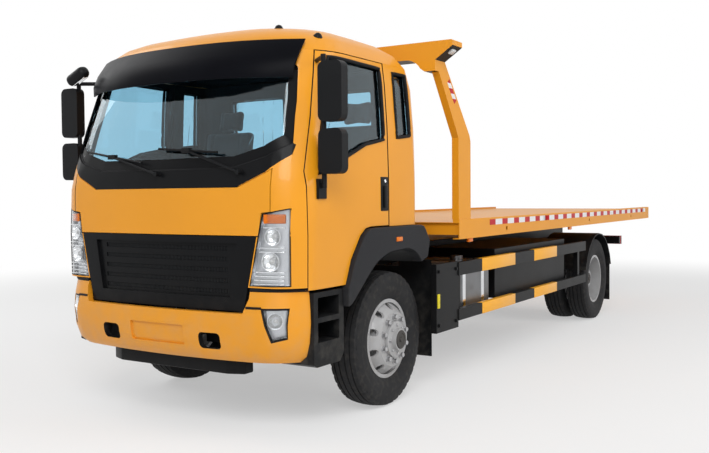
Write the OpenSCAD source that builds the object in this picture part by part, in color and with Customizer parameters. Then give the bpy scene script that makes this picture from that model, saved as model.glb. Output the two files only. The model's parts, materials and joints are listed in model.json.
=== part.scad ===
// Flatbed tow truck: a cab-over truck with a bed that slides back and tilts.
// Millimetres. X is to the truck's left, Y to its tail and Z up.
// The origin is on the ground below the middle of its length.
// Inside the modules, y counts from the front axle, and in_place() moves the whole truck to its origin.

/* [Overall] */
// Distance between the axles
wheelbase = 5200; // [4800:50:5800]
// Bumper face ahead of the front axle
front_overhang = 1365; // [1360:5:1420]
// Tail of the bed behind the rear axle
rear_overhang = 2365; // [2100:5:2600]

/* [Wheels] */
// Tyre outside diameter
tyre_d = 1020; // [980:5:1050]
// Tyre section width
tyre_w = 250; // [230:1:270]
// Rim bead seat diameter
rim_d = 571; // [560:1:580]
// Rim width between the flanges
rim_w = 190; // [180:1:200]
// Distance between the front tyre middles
front_track = 1920; // [1880:5:1960]
// Distance between the middles of the rear pairs
rear_track = 1750; // [1720:5:1780]
// Distance between the tyre middles of a rear pair
twin_pitch = 300; // [285:1:330]
// Distance from the wheel middle to the kingpin
kingpin_offset = 160; // [150:1:170]
// Hand holes in each rim
hand_holes = 10; // [8:1:12]

/* [Cab] */
// Cab width over the skin
cab_w = 2240; // [2160:5:2300]
// Cab nose ahead of the front axle
cab_nose = 1300; // [1280:5:1320]
// Cab back behind the front axle
cab_back = 400; // [380:5:430]
// Lower edge of the doors
sill_z = 975; // [950:5:1000]
// Top of the grille
grille_top_z = 1335; // [1310:5:1360]
// Lower edge of the black cowl
cowl_z = 1650; // [1630:5:1680]
// Lower edge of the windscreen at the middle
glass_base_z = 1770; // [1750:5:1800]
// Roof seam above the doors
drip_z = 2565; // [2520:5:2600]
// Height of the roof above its seam
roof_h = 230; // [200:5:280]
// Thickness of cab walls and doors
wall = 60; // [50:1:70]
// Gap round doors and flap
panel_gap = 7; // [6:0.5:10]
// Thickness of the front flap and cowl
flap_t = 28; // [22:1:32]
// Thickness of the glass
glass_t = 6; // [4:0.5:8]
// Rear edge of the doors, from the front axle
door_rear_y = -80; // [-110:5:-60]
// Front edge of the doors, from the front axle
door_front_y = -1103; // [-1115:1:-1095]

/* [Chassis] */
// Width over the frame rails
frame_w = 800; // [760:5:840]
// Height of the rails
rail_h = 220; // [200:5:240]
// Width of the rail flanges
rail_flange = 75; // [65:1:80]
// Thickness of the rail steel
rail_t = 8; // [6:0.5:10]
// Top of the rails above the ground
frame_top_z = 1000; // [990:1:1010]
// End of the frame behind the rear axle
frame_tail = 1080; // [1000:10:1200]

/* [Bed] */
// Bed width
bed_w = 2500; // [2400:5:2550]
// Gap from the cab back to the bed
bed_gap = 470; // [450:5:600]
// Top of the side rails
bed_rail_z = 1385; // [1375:1:1400]
// Depth of the side rails
bed_rail_h = 165; // [150:1:180]
// Lip of the side rails above the deck
deck_lip = 25; // [15:1:35]
// Travel of the bed on its tilt frame
bed_travel = 3800; // [3000:50:3900]
// Top of the gantry beam
gantry_z = 2790; // [2740:5:2850]
// Width over the gantry beam
gantry_w = 2790; // [2700:5:2850]

/* [Hidden] */
$fn = 64;

fit = 0.3;
far = 4000;
yellow = "#F2A81D";
black = "#1B1C1E";
grey = "#4A4B4F";
steel = "#2A2C2F";
silver = "#C9CBCE";
dark_glass = "#3A454C";

// Heights and lengths that follow from the sizes above
front_axle_y = front_overhang - (front_overhang + wheelbase + rear_overhang) / 2;
wheel_z = tyre_d / 2;
rail_x = frame_w / 2;
rail_bottom_z = frame_top_z - rail_h;
frame_front_y = -cab_nose + 170;
frame_rear_y = wheelbase + frame_tail;
deck_z = bed_rail_z - deck_lip;
deck_t = 6;
bed_front_y = cab_back + bed_gap;
bed_tail_y = wheelbase + rear_overhang;
cab_half = cab_w / 2;
arch_z = sill_z + 385;

module in_place() translate([0, front_axle_y, 0]) children();
module both_sides() {
  children();
  mirror([1, 0, 0]) children();
}
// A profile in Y and Z, drawn out along X
module across(x0, x1) translate([x0, 0, 0]) rotate([90, 0, 90]) linear_extrude(x1 - x0) children();
// A profile in X and Z, drawn out along Y
module lengthwise(y0, y1) translate([0, y1, 0]) rotate([90, 0, 0]) linear_extrude(y1 - y0) children();
module block(x0, x1, y0, y1, z0, z1) translate([x0, y0, z0]) cube([x1 - x0, y1 - y0, z1 - z0]);
module rod(p, q, r) {
  v = q - p;
  translate(p)
    rotate([0, acos(v.z / norm(v)), atan2(v.y, v.x)])
      cylinder(r = r, h = norm(v));
}
function turned(a) = [cos(a), sin(a)];
function arc(c, r, a0, a1, n) = [for (i = [0:n]) c + r * turned(a0 + (a1 - a0) * i / n)];
function flip(points) = [for (i = [len(points) - 1:-1:0]) [-points[i].x, points[i].y]];

// Cab form: each row is a level plan outline, with columns height, side draw-in, front setback, rear draw-in,
// nose corner radius and the slope of the nose where it meets the corner
glass_h = drip_z - glass_base_z;
cab_rows = [
  [sill_z - 155, 8, 4, 0, 250, 5],
  [sill_z, 4, 2, 0, 250, 5],
  [grille_top_z, 0, 0, 0, 250, 5],
  [cowl_z, 0, 2, 0, 270, 5.5],
  [glass_base_z, 2, 14, 0, 300, 6],
  [glass_base_z + 0.42 * glass_h, 12, 78, 0, 370, 8],
  [glass_base_z + 0.80 * glass_h, 32, 162, 10, 420, 9],
  [drip_z, 52, 212, 62, 430, 9],
  [drip_z + 0.38 * roof_h, 95, 265, 160, 430, 9],
  [drip_z + 0.62 * roof_h, 160, 325, 310, 430, 9],
  [drip_z + 0.80 * roof_h, 262, 410, 480, 420, 9],
  [drip_z + 0.93 * roof_h, 420, 515, 660, 380, 9],
  [drip_z + roof_h, 640, 650, 850, 300, 9]];
back_r = 90;
front_steps = 4;
corner_steps = 7;
// Half of one outline, from the middle of the nose to the middle of the back
function half_ring(row, inset) =
  let(hw = cab_half - row[1] - inset, yf = -cab_nose + row[2] + inset, yb = cab_back - row[3] - inset,
      r = max(row[4] - inset, 30), a = row[5], xc = hw - r + r * sin(a), bow = xc * tan(a) / 2,
      rb = max(back_r - inset, 20))
  concat(
    [for (i = [0:front_steps - 1]) [xc * i / front_steps, yf + bow * pow(i / front_steps, 2)]],
    arc([hw - r, yf + bow + r * cos(a)], r, a - 90, 0, corner_steps),
    arc([hw - rb, yb - rb], rb, 0, 90, 3),
    [[0, yb]]);
function ring(row, inset) =
  let(h = half_ring(row, inset), n = len(h))
  concat(h, [for (i = [n - 2:-1:1]) [-h[i].x, h[i].y]]);
// The nose of the cab at a height and a distance from the middle
function cab_column(z, column) = lookup(z, [for (row = cab_rows) [row[0], row[column]]]);
function nose_y(x, z) =
  let(r = cab_column(z, 4), a = cab_column(z, 5), xc = cab_half - cab_column(z, 1) - r + r * sin(a))
  cab_column(z, 2) - cab_nose + xc * tan(a) / 2 * pow(x / xc, 2);
// Closed solid through level outlines of equal point counts; a crescent's ends are closed by strips
module loft(rings, heights, crescent = false) {
  n = len(rings[0]);
  m = len(rings);
  points = [for (i = [0:m - 1]) for (p = rings[i]) [p.x, p.y, heights[i]]];
  walls = [for (i = [0:m - 2]) for (j = [0:n - 1])
    let(a = i * n + j, b = i * n + (j + 1) % n)
    each [[a, b + n, b], [a, a + n, b + n]]];
  floor_faces = crescent
    ? [for (j = [0:n / 2 - 2]) [j, j + 1, n - 2 - j, n - 1 - j]]
    : [[for (j = [0:n - 1]) j]];
  roof_faces = [for (face = floor_faces) [for (k = [len(face) - 1:-1:0]) (m - 1) * n + face[k]]];
  polyhedron(points, concat(walls, floor_faces, roof_faces), convexity = 6);
}
// The cab's outside form between two of its rows, drawn in by inset all round, its roof lowered by the same
sides = [0, 7];
nose = [0, 4];
glazing = [3, 7];
roof = [7, 12];
function row_z(i, span, inset) =
  cab_rows[i][0] - (i > 7 ? inset : i == span[0] ? inset : i == span[1] ? -inset : 0);
module cab_form(inset = 0, span = sides)
  loft([for (i = [span[0]:span[1]]) ring(cab_rows[i], inset)],
       [for (i = [span[0]:span[1]]) row_z(i, span, inset)]);
module cab_skin(depth, from = 0, span = sides) difference() {
  cab_form(from, span);
  cab_form(depth, span);
}

// Chassis
spring_x = rail_x - rail_flange / 2;
module chassis_frame() color(steel) in_place() {
  both_sides() {
    difference() {
      block(rail_x - rail_flange, rail_x, frame_front_y, frame_rear_y, rail_bottom_z, frame_top_z);
      block(rail_x - rail_flange - 1, rail_x - rail_t, frame_front_y - 1, frame_rear_y + 1,
            rail_bottom_z + rail_t, frame_top_z - rail_t);
    }
    // Spring hangers
    for (y = [-700, 700, wheelbase - 720, wheelbase + 720])
      block(spring_x - 37, spring_x + 37, y - 40, y + 40, spring_eye_z - 25, rail_bottom_z);
    // Cab mounts
    block(rail_x - rail_flange, rail_x, -960, -840, frame_top_z, floor_front_z - floor_t);
    block(rail_x - 70, rail_x, 230, 310, frame_top_z, floor_rear_z - floor_t);
    // Bumper arm and tow lug
    block(rail_x - 60, rail_x, frame_front_y - 90, frame_front_y, rail_bottom_z - 90, frame_top_z - 60);
    difference() {
      block(rail_x, rail_x + 120, frame_front_y - 90, frame_front_y + 20, tow_z - 30, tow_z + 30);
      translate([rail_x + 60, frame_front_y - 40, tow_z - 31]) cylinder(r = tow_pin_r, h = 62);
    }
    block(rail_x - 60, rail_x, frame_front_y - 90, frame_front_y + 20, tow_z - 30, rail_bottom_z - 90);
    // Tilt pivot bracket
    difference() {
      block(rail_x - rail_flange, rail_x, pivot_y - 70, pivot_y + 70, pivot_z - 70, frame_top_z);
      rod([rail_x - 100, pivot_y, pivot_z], [rail_x + 1, pivot_y, pivot_z], pivot_r + fit);
    }
    // Lift cylinder bracket
    block(tilt_x0, tilt_x0 + 22, lift_y - 60, lift_y + 60, lift_z - 50, rail_bottom_z + 60);
    block(tilt_x0, rail_x - 1, lift_y - 60, lift_y + 60, rail_bottom_z + 1, rail_bottom_z + 60);
    rod([lift_x - 42, lift_y, lift_z], [tilt_x0 + 10, lift_y, lift_z], lift_pin_r);
    // Rests for the tilt frame
    for (y = [bed_front_y + 300, 3000])
      block(rail_x - 60, rail_x, y - 40, y + 40, frame_top_z, tilt_z0);
  }
  // Crossmembers
  for (y = [frame_front_y + 40, 1500, 2700, 4100, frame_rear_y - 260])
    block(-rail_x + rail_t, rail_x - rail_t, y - 40, y + 40, rail_bottom_z + 30, frame_top_z - 30);
}
floor_t = 50;
floor_front_z = 1085;
floor_rear_z = 1255;
tow_z = 640;
tow_pin_r = 19;
spring_eye_z = 700;
beam_z = wheel_z - 70;
kingpin_x = front_track / 2 - kingpin_offset;
kingpin_r = 24;
kingpin_h = 110;

module front_axle() color(steel) in_place() {
  lengthwise(-45, 45) {
    eye_half = kingpin_h / 2;
    half = [[0, beam_z - 80], [460, beam_z - 80], [620, wheel_z - 75], [kingpin_x - 65, wheel_z - eye_half],
            [kingpin_x, wheel_z - eye_half], [kingpin_x, wheel_z + eye_half], [600, wheel_z + 20],
            [460, beam_z + 40], [0, beam_z + 40]];
    polygon(concat(half, flip(half)));
  }
  both_sides() {
    translate([kingpin_x, 0, wheel_z - kingpin_h / 2]) cylinder(r = 52, h = kingpin_h);
    translate([kingpin_x, 0, wheel_z - kingpin_h]) cylinder(r = kingpin_r, h = 2 * kingpin_h);
    block(spring_x - 45, spring_x + 45, -90, 90, beam_z, front_seat_z);
  }
}
front_seat_z = wheel_z + 35;
rear_seat_z = wheel_z + 85;
module rear_axle() color(steel) in_place() translate([0, wheelbase, wheel_z]) {
  rod([-560, 0, 0], [560, 0, 0], 68);
  rod([-rear_track / 2 - 150, 0, 0], [rear_track / 2 + 150, 0, 0], spindle_r);
  rod([0, -130, 0], [0, 150, 0], 190);
  rod([0, 149, 0], [0, 190, 0], 130);
  rod([0, -290, 0], [0, 0, 0], 80);
  both_sides() block(spring_x - 45, spring_x + 45, -90, 90, -40, rear_seat_z - wheel_z);
}
// A leaf pack: flat at the axle and rising to its eyes
module leaf_pack(y, seat, half, thick)
  across(spring_x - 35, spring_x + 35) polygon([
    [y - half, spring_eye_z - 25], [y - half, spring_eye_z - 50], [y - half * 0.55, seat + 20],
    [y - 160, seat], [y + 160, seat],
    [y + half * 0.55, seat + 20], [y + half, spring_eye_z - 50], [y + half, spring_eye_z - 25],
    [y + half * 0.5, seat + thick - 10], [y + 200, seat + thick], [y - 200, seat + thick],
    [y - half * 0.5, seat + thick - 10]]);
module leaf_springs() color(steel) in_place() both_sides() {
  leaf_pack(0, front_seat_z, 740, 60);
  leaf_pack(wheelbase, rear_seat_z, 760, 60);
}
engine_rear_y = 230;
gearbox_rear_y = 950;
shaft_z = 700;
module driveline() color(grey) in_place() {
  block(-290, 290, -760, engine_rear_y, 600, 1370);
  both_sides() block(280, rail_x - rail_flange, -300, -180, 840, 940);
  rod([0, engine_rear_y - 1, shaft_z + 60], [0, gearbox_rear_y, shaft_z + 20], 190);
  rod([0, gearbox_rear_y - 60, shaft_z + 20], [0, wheelbase - 292.6, wheel_z], 48);
}
tank_y0 = 1060;
tank_y1 = 1760;
tank_x0 = 470;
guard_x = bed_w / 2;
tank_x1 = guard_x - 120;
tank_z0 = 540;
tank_z1 = 1000;
function soft_box(x0, x1, y0, y1, r) = concat(
  arc([x1 - r, y0 + r], r, -90, 0, 5), arc([x1 - r, y1 - r], r, 0, 90, 5),
  arc([x0 + r, y1 - r], r, 90, 180, 5), arc([x0 + r, y0 + r], r, 180, 270, 5));
module fuel_tank() color(silver) in_place() {
  lengthwise(tank_y0, tank_y1) polygon(soft_box(tank_x0, tank_x1, tank_z0, tank_z1, 90));
  for (y = [tank_y0 + 150, tank_y1 - 150])
    lengthwise(y - 30, y + 30) difference() {
      polygon(soft_box(tank_x0 - 6, tank_x1 + 6, tank_z0 - 6, tank_z1 + 6, 96));
      polygon(soft_box(tank_x0 + 1, tank_x1 - 1, tank_z0 + 1, tank_z1 - 1, 89));
    }
  // Bracket arms to the rail, and the filler
  for (y = [tank_y0 + 150, tank_y1 - 150]) block(rail_x, tank_x0 + 2, y - 30, y + 30, 800, 960);
  translate([tank_x1 - 160, (tank_y0 + tank_y1) / 2, tank_z1 - 2]) cylinder(r = 55, h = 47);
}
// A sheet steel locker, open towards the rail
locker_t = 5;
locker_x1 = guard_x - 100;
module locker(y0, y1, z0) difference() {
  block(rail_x, locker_x1, y0, y1, z0, 1080);
  block(rail_x - 1, locker_x1 - locker_t, y0 + locker_t, y1 - locker_t, z0 + locker_t, 1080 - locker_t);
}
module side_boxes() color(black) in_place() {
  locker(tank_y1 + 100, wheelbase - 1300, 620);
  mirror([1, 0, 0]) {
    locker(1000, 1850, 600);
    locker(1950, wheelbase - 1300, 620);
  }
}
guard_y0 = 460;
guard_y1 = wheelbase - 800;
module side_guards() color(black) in_place() both_sides() {
  block(guard_x - 50, guard_x, guard_y0 + 400, guard_y1, 920, 1030);
  block(guard_x - 50, guard_x, guard_y0 + 400, guard_y1, 545, 640);
  block(guard_x - 60, guard_x - 10, guard_y0, guard_y0 + 410, 490, 1040);
  for (y = [940, guard_y1 - 160]) {
    block(guard_x - 90, guard_x - 40, y - 35, y + 35, 560, 1020);
    block(rail_x, guard_x - 80, y - 35, y + 35, 900, 960);
  }
}
mudguard_r = wheel_z + 70;
module rear_mudguards() color(black) in_place() both_sides() {
  across(590, 1180) {
    outer = arc([wheelbase, wheel_z], mudguard_r, 15, 165, 10);
    inner = arc([wheelbase, wheel_z], mudguard_r - 12, 165, 15, 10);
    polygon(concat(outer, inner));
  }
  block(600, 1170, wheelbase + mudguard_r - 60, wheelbase + mudguard_r - 48, 190, wheel_z + 250);
  for (y = [wheelbase - 420, wheelbase + 420])
    block(rail_x, 600, y - 20, y + 20, wheel_z + 365, wheel_z + 425);
}
bar_y = frame_rear_y;
module rear_bar() color(black) in_place() {
  block(-1150, 1150, bar_y, bar_y + 60, 900, 1000);
}
module tail_lamps() color("#8E1216") in_place() both_sides() {
  block(700, 1150, bar_y + 60, bar_y + 110, 890, 1005);
}

// Cab panels
pillar_z = cowl_z + 100;
pillar_rake = 250;
door_top_y = door_front_y + pillar_rake;
// Where the door's lower edge and the wheel arch trim meet
arch_line = [[-670, sill_z], [-600, sill_z + 170], [-478, arch_z - 55],
             [-410, arch_z - 8], [-334, arch_z + 2]];
arch_lean = [1, 1, 0.8, 0, 0];
// The door's outline, grown by g
function door_outline(g) = [
  [door_front_y - g, sill_z - g],
  for (i = [0:4]) arch_line[i] + g * [arch_lean[i], -1],
  [door_rear_y + g, arch_line[4].y - g], [door_rear_y + g, drip_z + 1 + g],
  [door_top_y - g, drip_z + 1 + g], [door_front_y - g, pillar_z]];
function door_window(g) = [
  [-985 + g, glass_base_z - 35 + g], [-882, glass_base_z + 3 + g], [-398, glass_base_z + 183 + g],
  [-140 - g, glass_base_z + 229 + g], [-140 - g, drip_z - 50 - g], [-770 + g, drip_z - 45 - g],
  [-960 + g, glass_base_z + 130]];
function quarter_window(g) = [
  [60 + g, glass_base_z + 255 + g], [266 - g, glass_base_z + 281 + g], [250 - g, drip_z - 60 - g],
  [52 + g, drip_z - 62 - g]];
function screen_outline(g) =
  let(half = [[0, glass_base_z + g], [620, glass_base_z + 6 + g], [860, glass_base_z + 72 + g],
              [1008 - g, glass_base_z + 160 + g], [980 - g, glass_base_z + 445], [945 - g, drip_z - 130],
              [905 - g, drip_z - 78 - g], [830 - g, drip_z - 62 - g], [0, drip_z - 52 - g]])
  concat(half, [for (i = [len(half) - 2:-1:1]) [-half[i].x, half[i].y]]);
function cowl_outline(g) =
  let(half = [[0, cowl_z + g], [660 - g, cowl_z + g], [873 - g, cowl_z + 95 + g],
              [1015 - g, cowl_z + 206 + g], [1022 - g, glass_base_z + 150],
              [1008, glass_base_z + 159 - g], [860, glass_base_z + 71 - g],
              [620, glass_base_z + 5 - g], [0, glass_base_z - 1 - g]])
  concat(half, [for (i = [len(half) - 2:-1:1]) [-half[i].x, half[i].y]]);
// The flap reaches up beside the cowl, and swings about a line level with its highest corners
flap_half = 914;
function flap_outline(g) =
  let(half = [[0, grille_top_z + 1 + g], [829 - g, grille_top_z + 1 + g], [850 - g, grille_top_z + 148 + g],
              [flap_half - g, grille_top_z + 156 + g], [flap_half - g, cowl_z + 112 - g],
              [880 - g, cowl_z + 92 - g],
              [668 - g, cowl_z - 2 - g], [0, cowl_z - 2 - g]])
  concat(half, [for (i = [len(half) - 2:-1:1]) [-half[i].x, half[i].y]]);
function lamp_outline(g) = [
  [757 + g, 1010 + g], [1033 - g, 1012 + g], [1036 - g, 1512 - g], [859 + g, 1476 - g]];
function grille_outline(g) =
  let(half = [[0, 838 + g], [711 - g, 838 + g], [818 - g, grille_top_z - g]])
  concat(half, flip(half));

module front_prism(points, back = -900) lengthwise(-far, back) polygon(points);
module cab_front() color(yellow) in_place() difference() {
  cab_skin(wall);
  across(-far, far) polygon([[door_front_y, 0], [door_front_y, pillar_z], [door_top_y, drip_z],
                             [door_top_y, far], [far, far], [far, 0]]);
  block(-far, far, -far, far, drip_z, far);
  block(-far, far, -far, far, 0, 1000);
  difference() {
    front_prism(flap_outline(-panel_gap));
    cab_form(flap_t + 4, nose);
  }
  difference() {
    front_prism(cowl_outline(0));
    cab_form(flap_t + fit);
  }
  front_prism(screen_outline(0));
  front_prism(grille_outline(-fit));
  both_sides() front_prism(lamp_outline(0));
}
module cab_rear() color(yellow) in_place() difference() {
  cab_skin(wall);
  block(-far, far, -far, door_rear_y + panel_gap, 0, far);
  block(-far, far, -far, far, drip_z, far);
  block(-far, far, -far, far, 0, floor_rear_z - floor_t);
  both_sides() block(cab_half - wall - 10, far, -far, far, 0, arch_z + 2);
  both_sides() across(cab_half - 400, far) polygon(quarter_window(0));
  both_sides() lengthwise(cab_back - 300, far) polygon(rear_window(0));
}
function rear_window(g) = soft_box(150 + g, 720 - g, glass_base_z + 230 + g, drip_z - 130 - g, 40);
module cab_roof() color(yellow) in_place() difference() {
  cab_skin(wall, 0, roof);
  block(-far, far, -far, far, 0, drip_z + fit);
}
tunnel_x = 400;
tunnel_z = 1450;
module cab_floor() color(grey) in_place() intersection() {
  cab_form(wall + fit);
  difference() {
    union() {
      across(-far, far) polygon([
        [-far, floor_front_z - floor_t], [-620, floor_front_z - floor_t], [-620, floor_rear_z - floor_t],
        [far, floor_rear_z - floor_t], [far, floor_rear_z], [-670, floor_rear_z], [-670, floor_front_z],
        [-far, floor_front_z]]);
      block(-tunnel_x, tunnel_x, -850, far, floor_front_z - floor_t, tunnel_z);
    }
    block(-tunnel_x + 40, tunnel_x - 40, -810, far, 0, tunnel_z - 40);
    block(-tunnel_x - 1, tunnel_x + 1, -620, far, 0, floor_rear_z - floor_t);
    // Room for the doors' inner corners as they swing
    both_sides() block(cab_half - wall - 45, far, -far, door_front_y + 85, 0, far);
  }
}
glass_in = 20;
module windscreen() color(dark_glass) in_place() intersection() {
  cab_skin(glass_in + glass_t, glass_in, glazing);
  front_prism(screen_outline(fit));
}
module cab_windows() color(dark_glass) in_place() intersection() {
  cab_skin(glass_in + glass_t, glass_in, glazing);
  union() {
    both_sides() across(cab_half - 400, far) polygon(quarter_window(fit));
    both_sides() lengthwise(cab_back - 300, far) polygon(rear_window(fit));
  }
}
module cowl_panel() color(black) in_place() intersection() {
  cab_skin(flap_t, 0, [2, 6]);
  front_prism(cowl_outline(fit));
}
// Wipers: columns pivot across the nose, then the blade's far and near ends,
// each across the nose and above the glass's edge
wiper_rows = [[-10, -790, 158, -170, 60], [690, -20, 152, 500, 112]];
function on_glass(x, z, out) = [x, nose_y(x, z) - out, z];
wiper_z = glass_base_z - 22;
function blade_at(row, t) =
  on_glass(row[1] + t * (row[3] - row[1]), glass_base_z + row[2] + t * (row[4] - row[2]), 20);
module wipers() color(black) in_place() {
  difference() {
    for (row = wiper_rows)
      rod(on_glass(row[0], wiper_z, -20), on_glass(row[0], wiper_z, 42), 16);
    cab_form(-fit, [2, 6]);
  }
  for (row = wiper_rows) {
    saddle = blade_at(row, 0.5);
    rod(on_glass(row[0], wiper_z, 30), saddle - [0, 10, 0], 8);
    translate(saddle) block(-36, 36, -20, 10, -16, 16);
    rod(blade_at(row, 0), blade_at(row, 0.48), 8);
    rod(blade_at(row, 0.52), blade_at(row, 1), 8);
  }
}
// Sun visor: columns height, nose, draw-in of its ends and sweep of its ends
visor_half = 955;
visor_t = 12;
visor_rows = [[drip_z - 200, -1290, 10, 268], [drip_z - 130, -1292, 4, 268],
              [drip_z - 40, -1240, 0, 262], [drip_z + 70, -1125, 6, 235]];
function visor_y(x, row) = row[1] + row[3] * pow(abs(x) / visor_half, 2.6);
function visor_ring(row) =
  let(x1 = visor_half - row[2], half = [for (i = [0:7]) [x1 * i / 7, visor_y(x1 * i / 7, row)]],
      outer = concat([for (i = [7:-1:1]) [-half[i].x, half[i].y]], half))
  concat(outer, [for (i = [len(outer) - 1:-1:0]) [outer[i].x, outer[i].y + visor_t]]);
module sun_visor() color(black) in_place() {
  loft([for (row = visor_rows) visor_ring(row)], [for (row = visor_rows) row[0]], crescent = true);
  // Brackets back to the roof's edge
  difference() {
    both_sides() for (x = [300, 780])
      let(y = visor_y(x, visor_rows[2]) + visor_t + 9, z = drip_z - 35)
      rod([x, y, z], [x, y + 320, z], 12);
    cab_form(-fit, [6, 10]);
  }
}
// Grille: a sunk field with a row of louvre slots
field_z0 = 930;
field_z1 = grille_top_z - 50;
field_depth = 22;
louvres = 5;
louvre_h = 30;
module grille() color(black) in_place() difference() {
  intersection() {
    cab_skin(wall, 0, nose);
    front_prism(grille_outline(panel_gap / 2));
  }
  difference() {
    front_prism([[-600, field_z0], [600, field_z0], [660, field_z1], [-660, field_z1]]);
    cab_form(field_depth, nose);
  }
  for (i = [0:louvres - 1])
    let(z = field_z0 + (i + 0.5) * (field_z1 - field_z0) / louvres, h = louvre_h / 2)
    front_prism([[-570, z - h], [570, z - h], [575, z + h], [-575, z + h]]);
}
// Headlamps in the corners and fog lamps in the bumper
lamp_depth = 45;
module front_lamps() color(silver) in_place() {
  intersection() {
    cab_skin(lamp_depth, 4, nose);
    both_sides() front_prism(lamp_outline(1));
  }
  intersection() {
    difference() {
      bumper_form(8);
      bumper_form(bumper_t);
    }
    both_sides() front_prism(fog_outline(fit));
  }
}
// Bumper: columns height, side draw-in, front setback
bumper_rows = [[505, 50, 80], [545, 22, 42], [640, 6, 12], [760, 0, 0], [850, 0, 8], [978, 0, 40]];
bumper_in = 10;
function bumper_ring(row, inset) =
  ring([row[0], row[1] + bumper_in, row[2] - front_overhang + cab_nose, 0, 350, 9], inset);
module bumper_form(inset)
  loft([for (row = bumper_rows) bumper_ring(row, inset)],
       [for (row = bumper_rows) row[0] + (row[0] < 520 ? -inset : row[0] > 900 ? inset : 0)]);
bumper_t = 45;
bumper_back_y = -1060;
function fog_outline(g) = [[850 + g, 872 - g], [912 + g, 648 + g], [1004 - g, 672 + g], [1014 - g, 872 - g]];
module bumper() color(yellow) in_place() {
  difference() {
    bumper_form(0);
    bumper_form(bumper_t);
    block(-far, far, bumper_back_y, far, 0, far);
    front_prism([[-760, far], [-760, 930], [-725, 832], [725, 832], [760, 930], [760, far]]);
    both_sides() front_prism(fog_outline(0));
    both_sides() front_prism(soft_box(rail_x - 25, rail_x + 148, tow_z - 55, tow_z + 55, 30));
    difference() {
      front_prism(soft_box(-247, 247, 598, 732, 12));
      bumper_form(16);
    }
  }
  both_sides() block(rail_x - 60, rail_x, -front_overhang + 60, frame_front_y - 90, 740, 820);
}

// Wheel arch trim, its liner and the mud flap behind the wheel
arch_outer = [[-690, sill_z - 8], for (i = [0:3]) arch_line[i], [-334, arch_z - 2],
              [415, arch_z - 2], [452, arch_z - 28], [532, arch_z - 130], [495, arch_z - 260]];
arch_inner = [[389, sill_z + 90], [320, sill_z + 160], [186, arch_z - 175], [-135, arch_z - 190],
              [-317, sill_z + 130], [-464, sill_z + 18], [-640, sill_z - 128], [-690, sill_z - 143]];
module wheel_arches() color(grey) in_place() both_sides() {
  across(cab_half - wall - 1.1, cab_half + 32) polygon(concat(arch_outer, arch_inner));
  across(600, cab_half) polygon([
    [389, sill_z + 90], [320, sill_z + 160], [186, arch_z - 175], [-135, arch_z - 190], [-317, sill_z + 130],
    [-464, sill_z + 18], [-640, sill_z - 128], [-640, sill_z - 108], [-464, sill_z + 38],
    [-317, sill_z + 150],
    [-135, arch_z - 172], [186, arch_z - 158], [330, sill_z + 175], [401, sill_z + 105]]);
  block(800, cab_half - 20, 640, 652, 270, 1060);
  block(rail_x, cab_half - 20, 652, 692, 960, 1000);
}
step_y0 = bumper_back_y + 4;
step_y1 = arch_outer[0].x - 7;
step_z0 = 470;
module cab_steps() color(black) in_place() both_sides() {
  difference() {
    across(760, cab_half - 8) polygon([
      [step_y0, sill_z - 14], [step_y0, step_z0 + 20], [step_y0 + 40, step_z0], [step_y1 - 50, step_z0],
      [step_y1, step_z0 + 60], [step_y1, sill_z - 160], [step_y1 - 20, sill_z - 14]]);
    block(860, far, step_y0 + 50, step_y1 - 60, sill_z - 180, sill_z - 50);
    block(900, far, step_y0 + 50, step_y1 - 60, step_z0 + 160, step_z0 + 290);
  }
  block(rail_x, 762, step_y0 + 120, step_y0 + 200, rail_bottom_z + 30, rail_bottom_z + 90);
}
dash_half = cab_half - wall - 115;
wheel_c = [470, -620, 1600];
column_a = 35;
module along_column() translate(wheel_c) rotate([-column_a, 0, 0]) children();
module dashboard() color(black) in_place() {
  across(-dash_half, dash_half) polygon([
    [-1130, 1510], [-1020, 1475], [-860, 1475], [-820, 1510], [-850, 1640], [-900, 1700], [-1110, 1715]]);
  both_sides() block(360, 480, nose_y(480, 1640) + wall + 1, -1100, 1560, 1640);
  along_column() translate([0, 0, -330]) cylinder(r = 42, h = 330 - 34 - fit);
  block(wheel_c.x - 38, wheel_c.x + 38, -840, -680, 1482, 1535);
}
seat_y = -330;
module seat(x, w) {
  block(x - w / 2 + 30, x + w / 2 - 30, seat_y + 20, seat_y + 460, floor_rear_z, 1460);
  block(x - w / 2, x + w / 2, seat_y, seat_y + 500, 1460, 1570);
  across(x - w / 2, x + w / 2) polygon([
    [seat_y + 430, 1560], [seat_y + 530, 1560], [seat_y + 620, 2160], [seat_y + 520, 2160]]);
  across(x - 130, x + 130) polygon([
    [seat_y + 525, 2150], [seat_y + 605, 2150], [seat_y + 640, 2340], [seat_y + 560, 2340]]);
}
module seats() color(grey) in_place() {
  seat(650, 520);
  seat(-650, 520);
}
module front_flap() color(yellow) in_place() intersection() {
  cab_skin(flap_t, 0, [1, 4]);
  front_prism(flap_outline(0));
}
module steering_wheel() color(black) in_place() along_column() {
  rotate_extrude() translate([222, 0]) circle(r = 16);
  translate([0, 0, -34]) cylinder(r = 70, h = 40);
  for (a = [30, 150, 270]) rotate(a) translate([50, -17, -10]) cube([165, 34, 14]);
}

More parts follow.
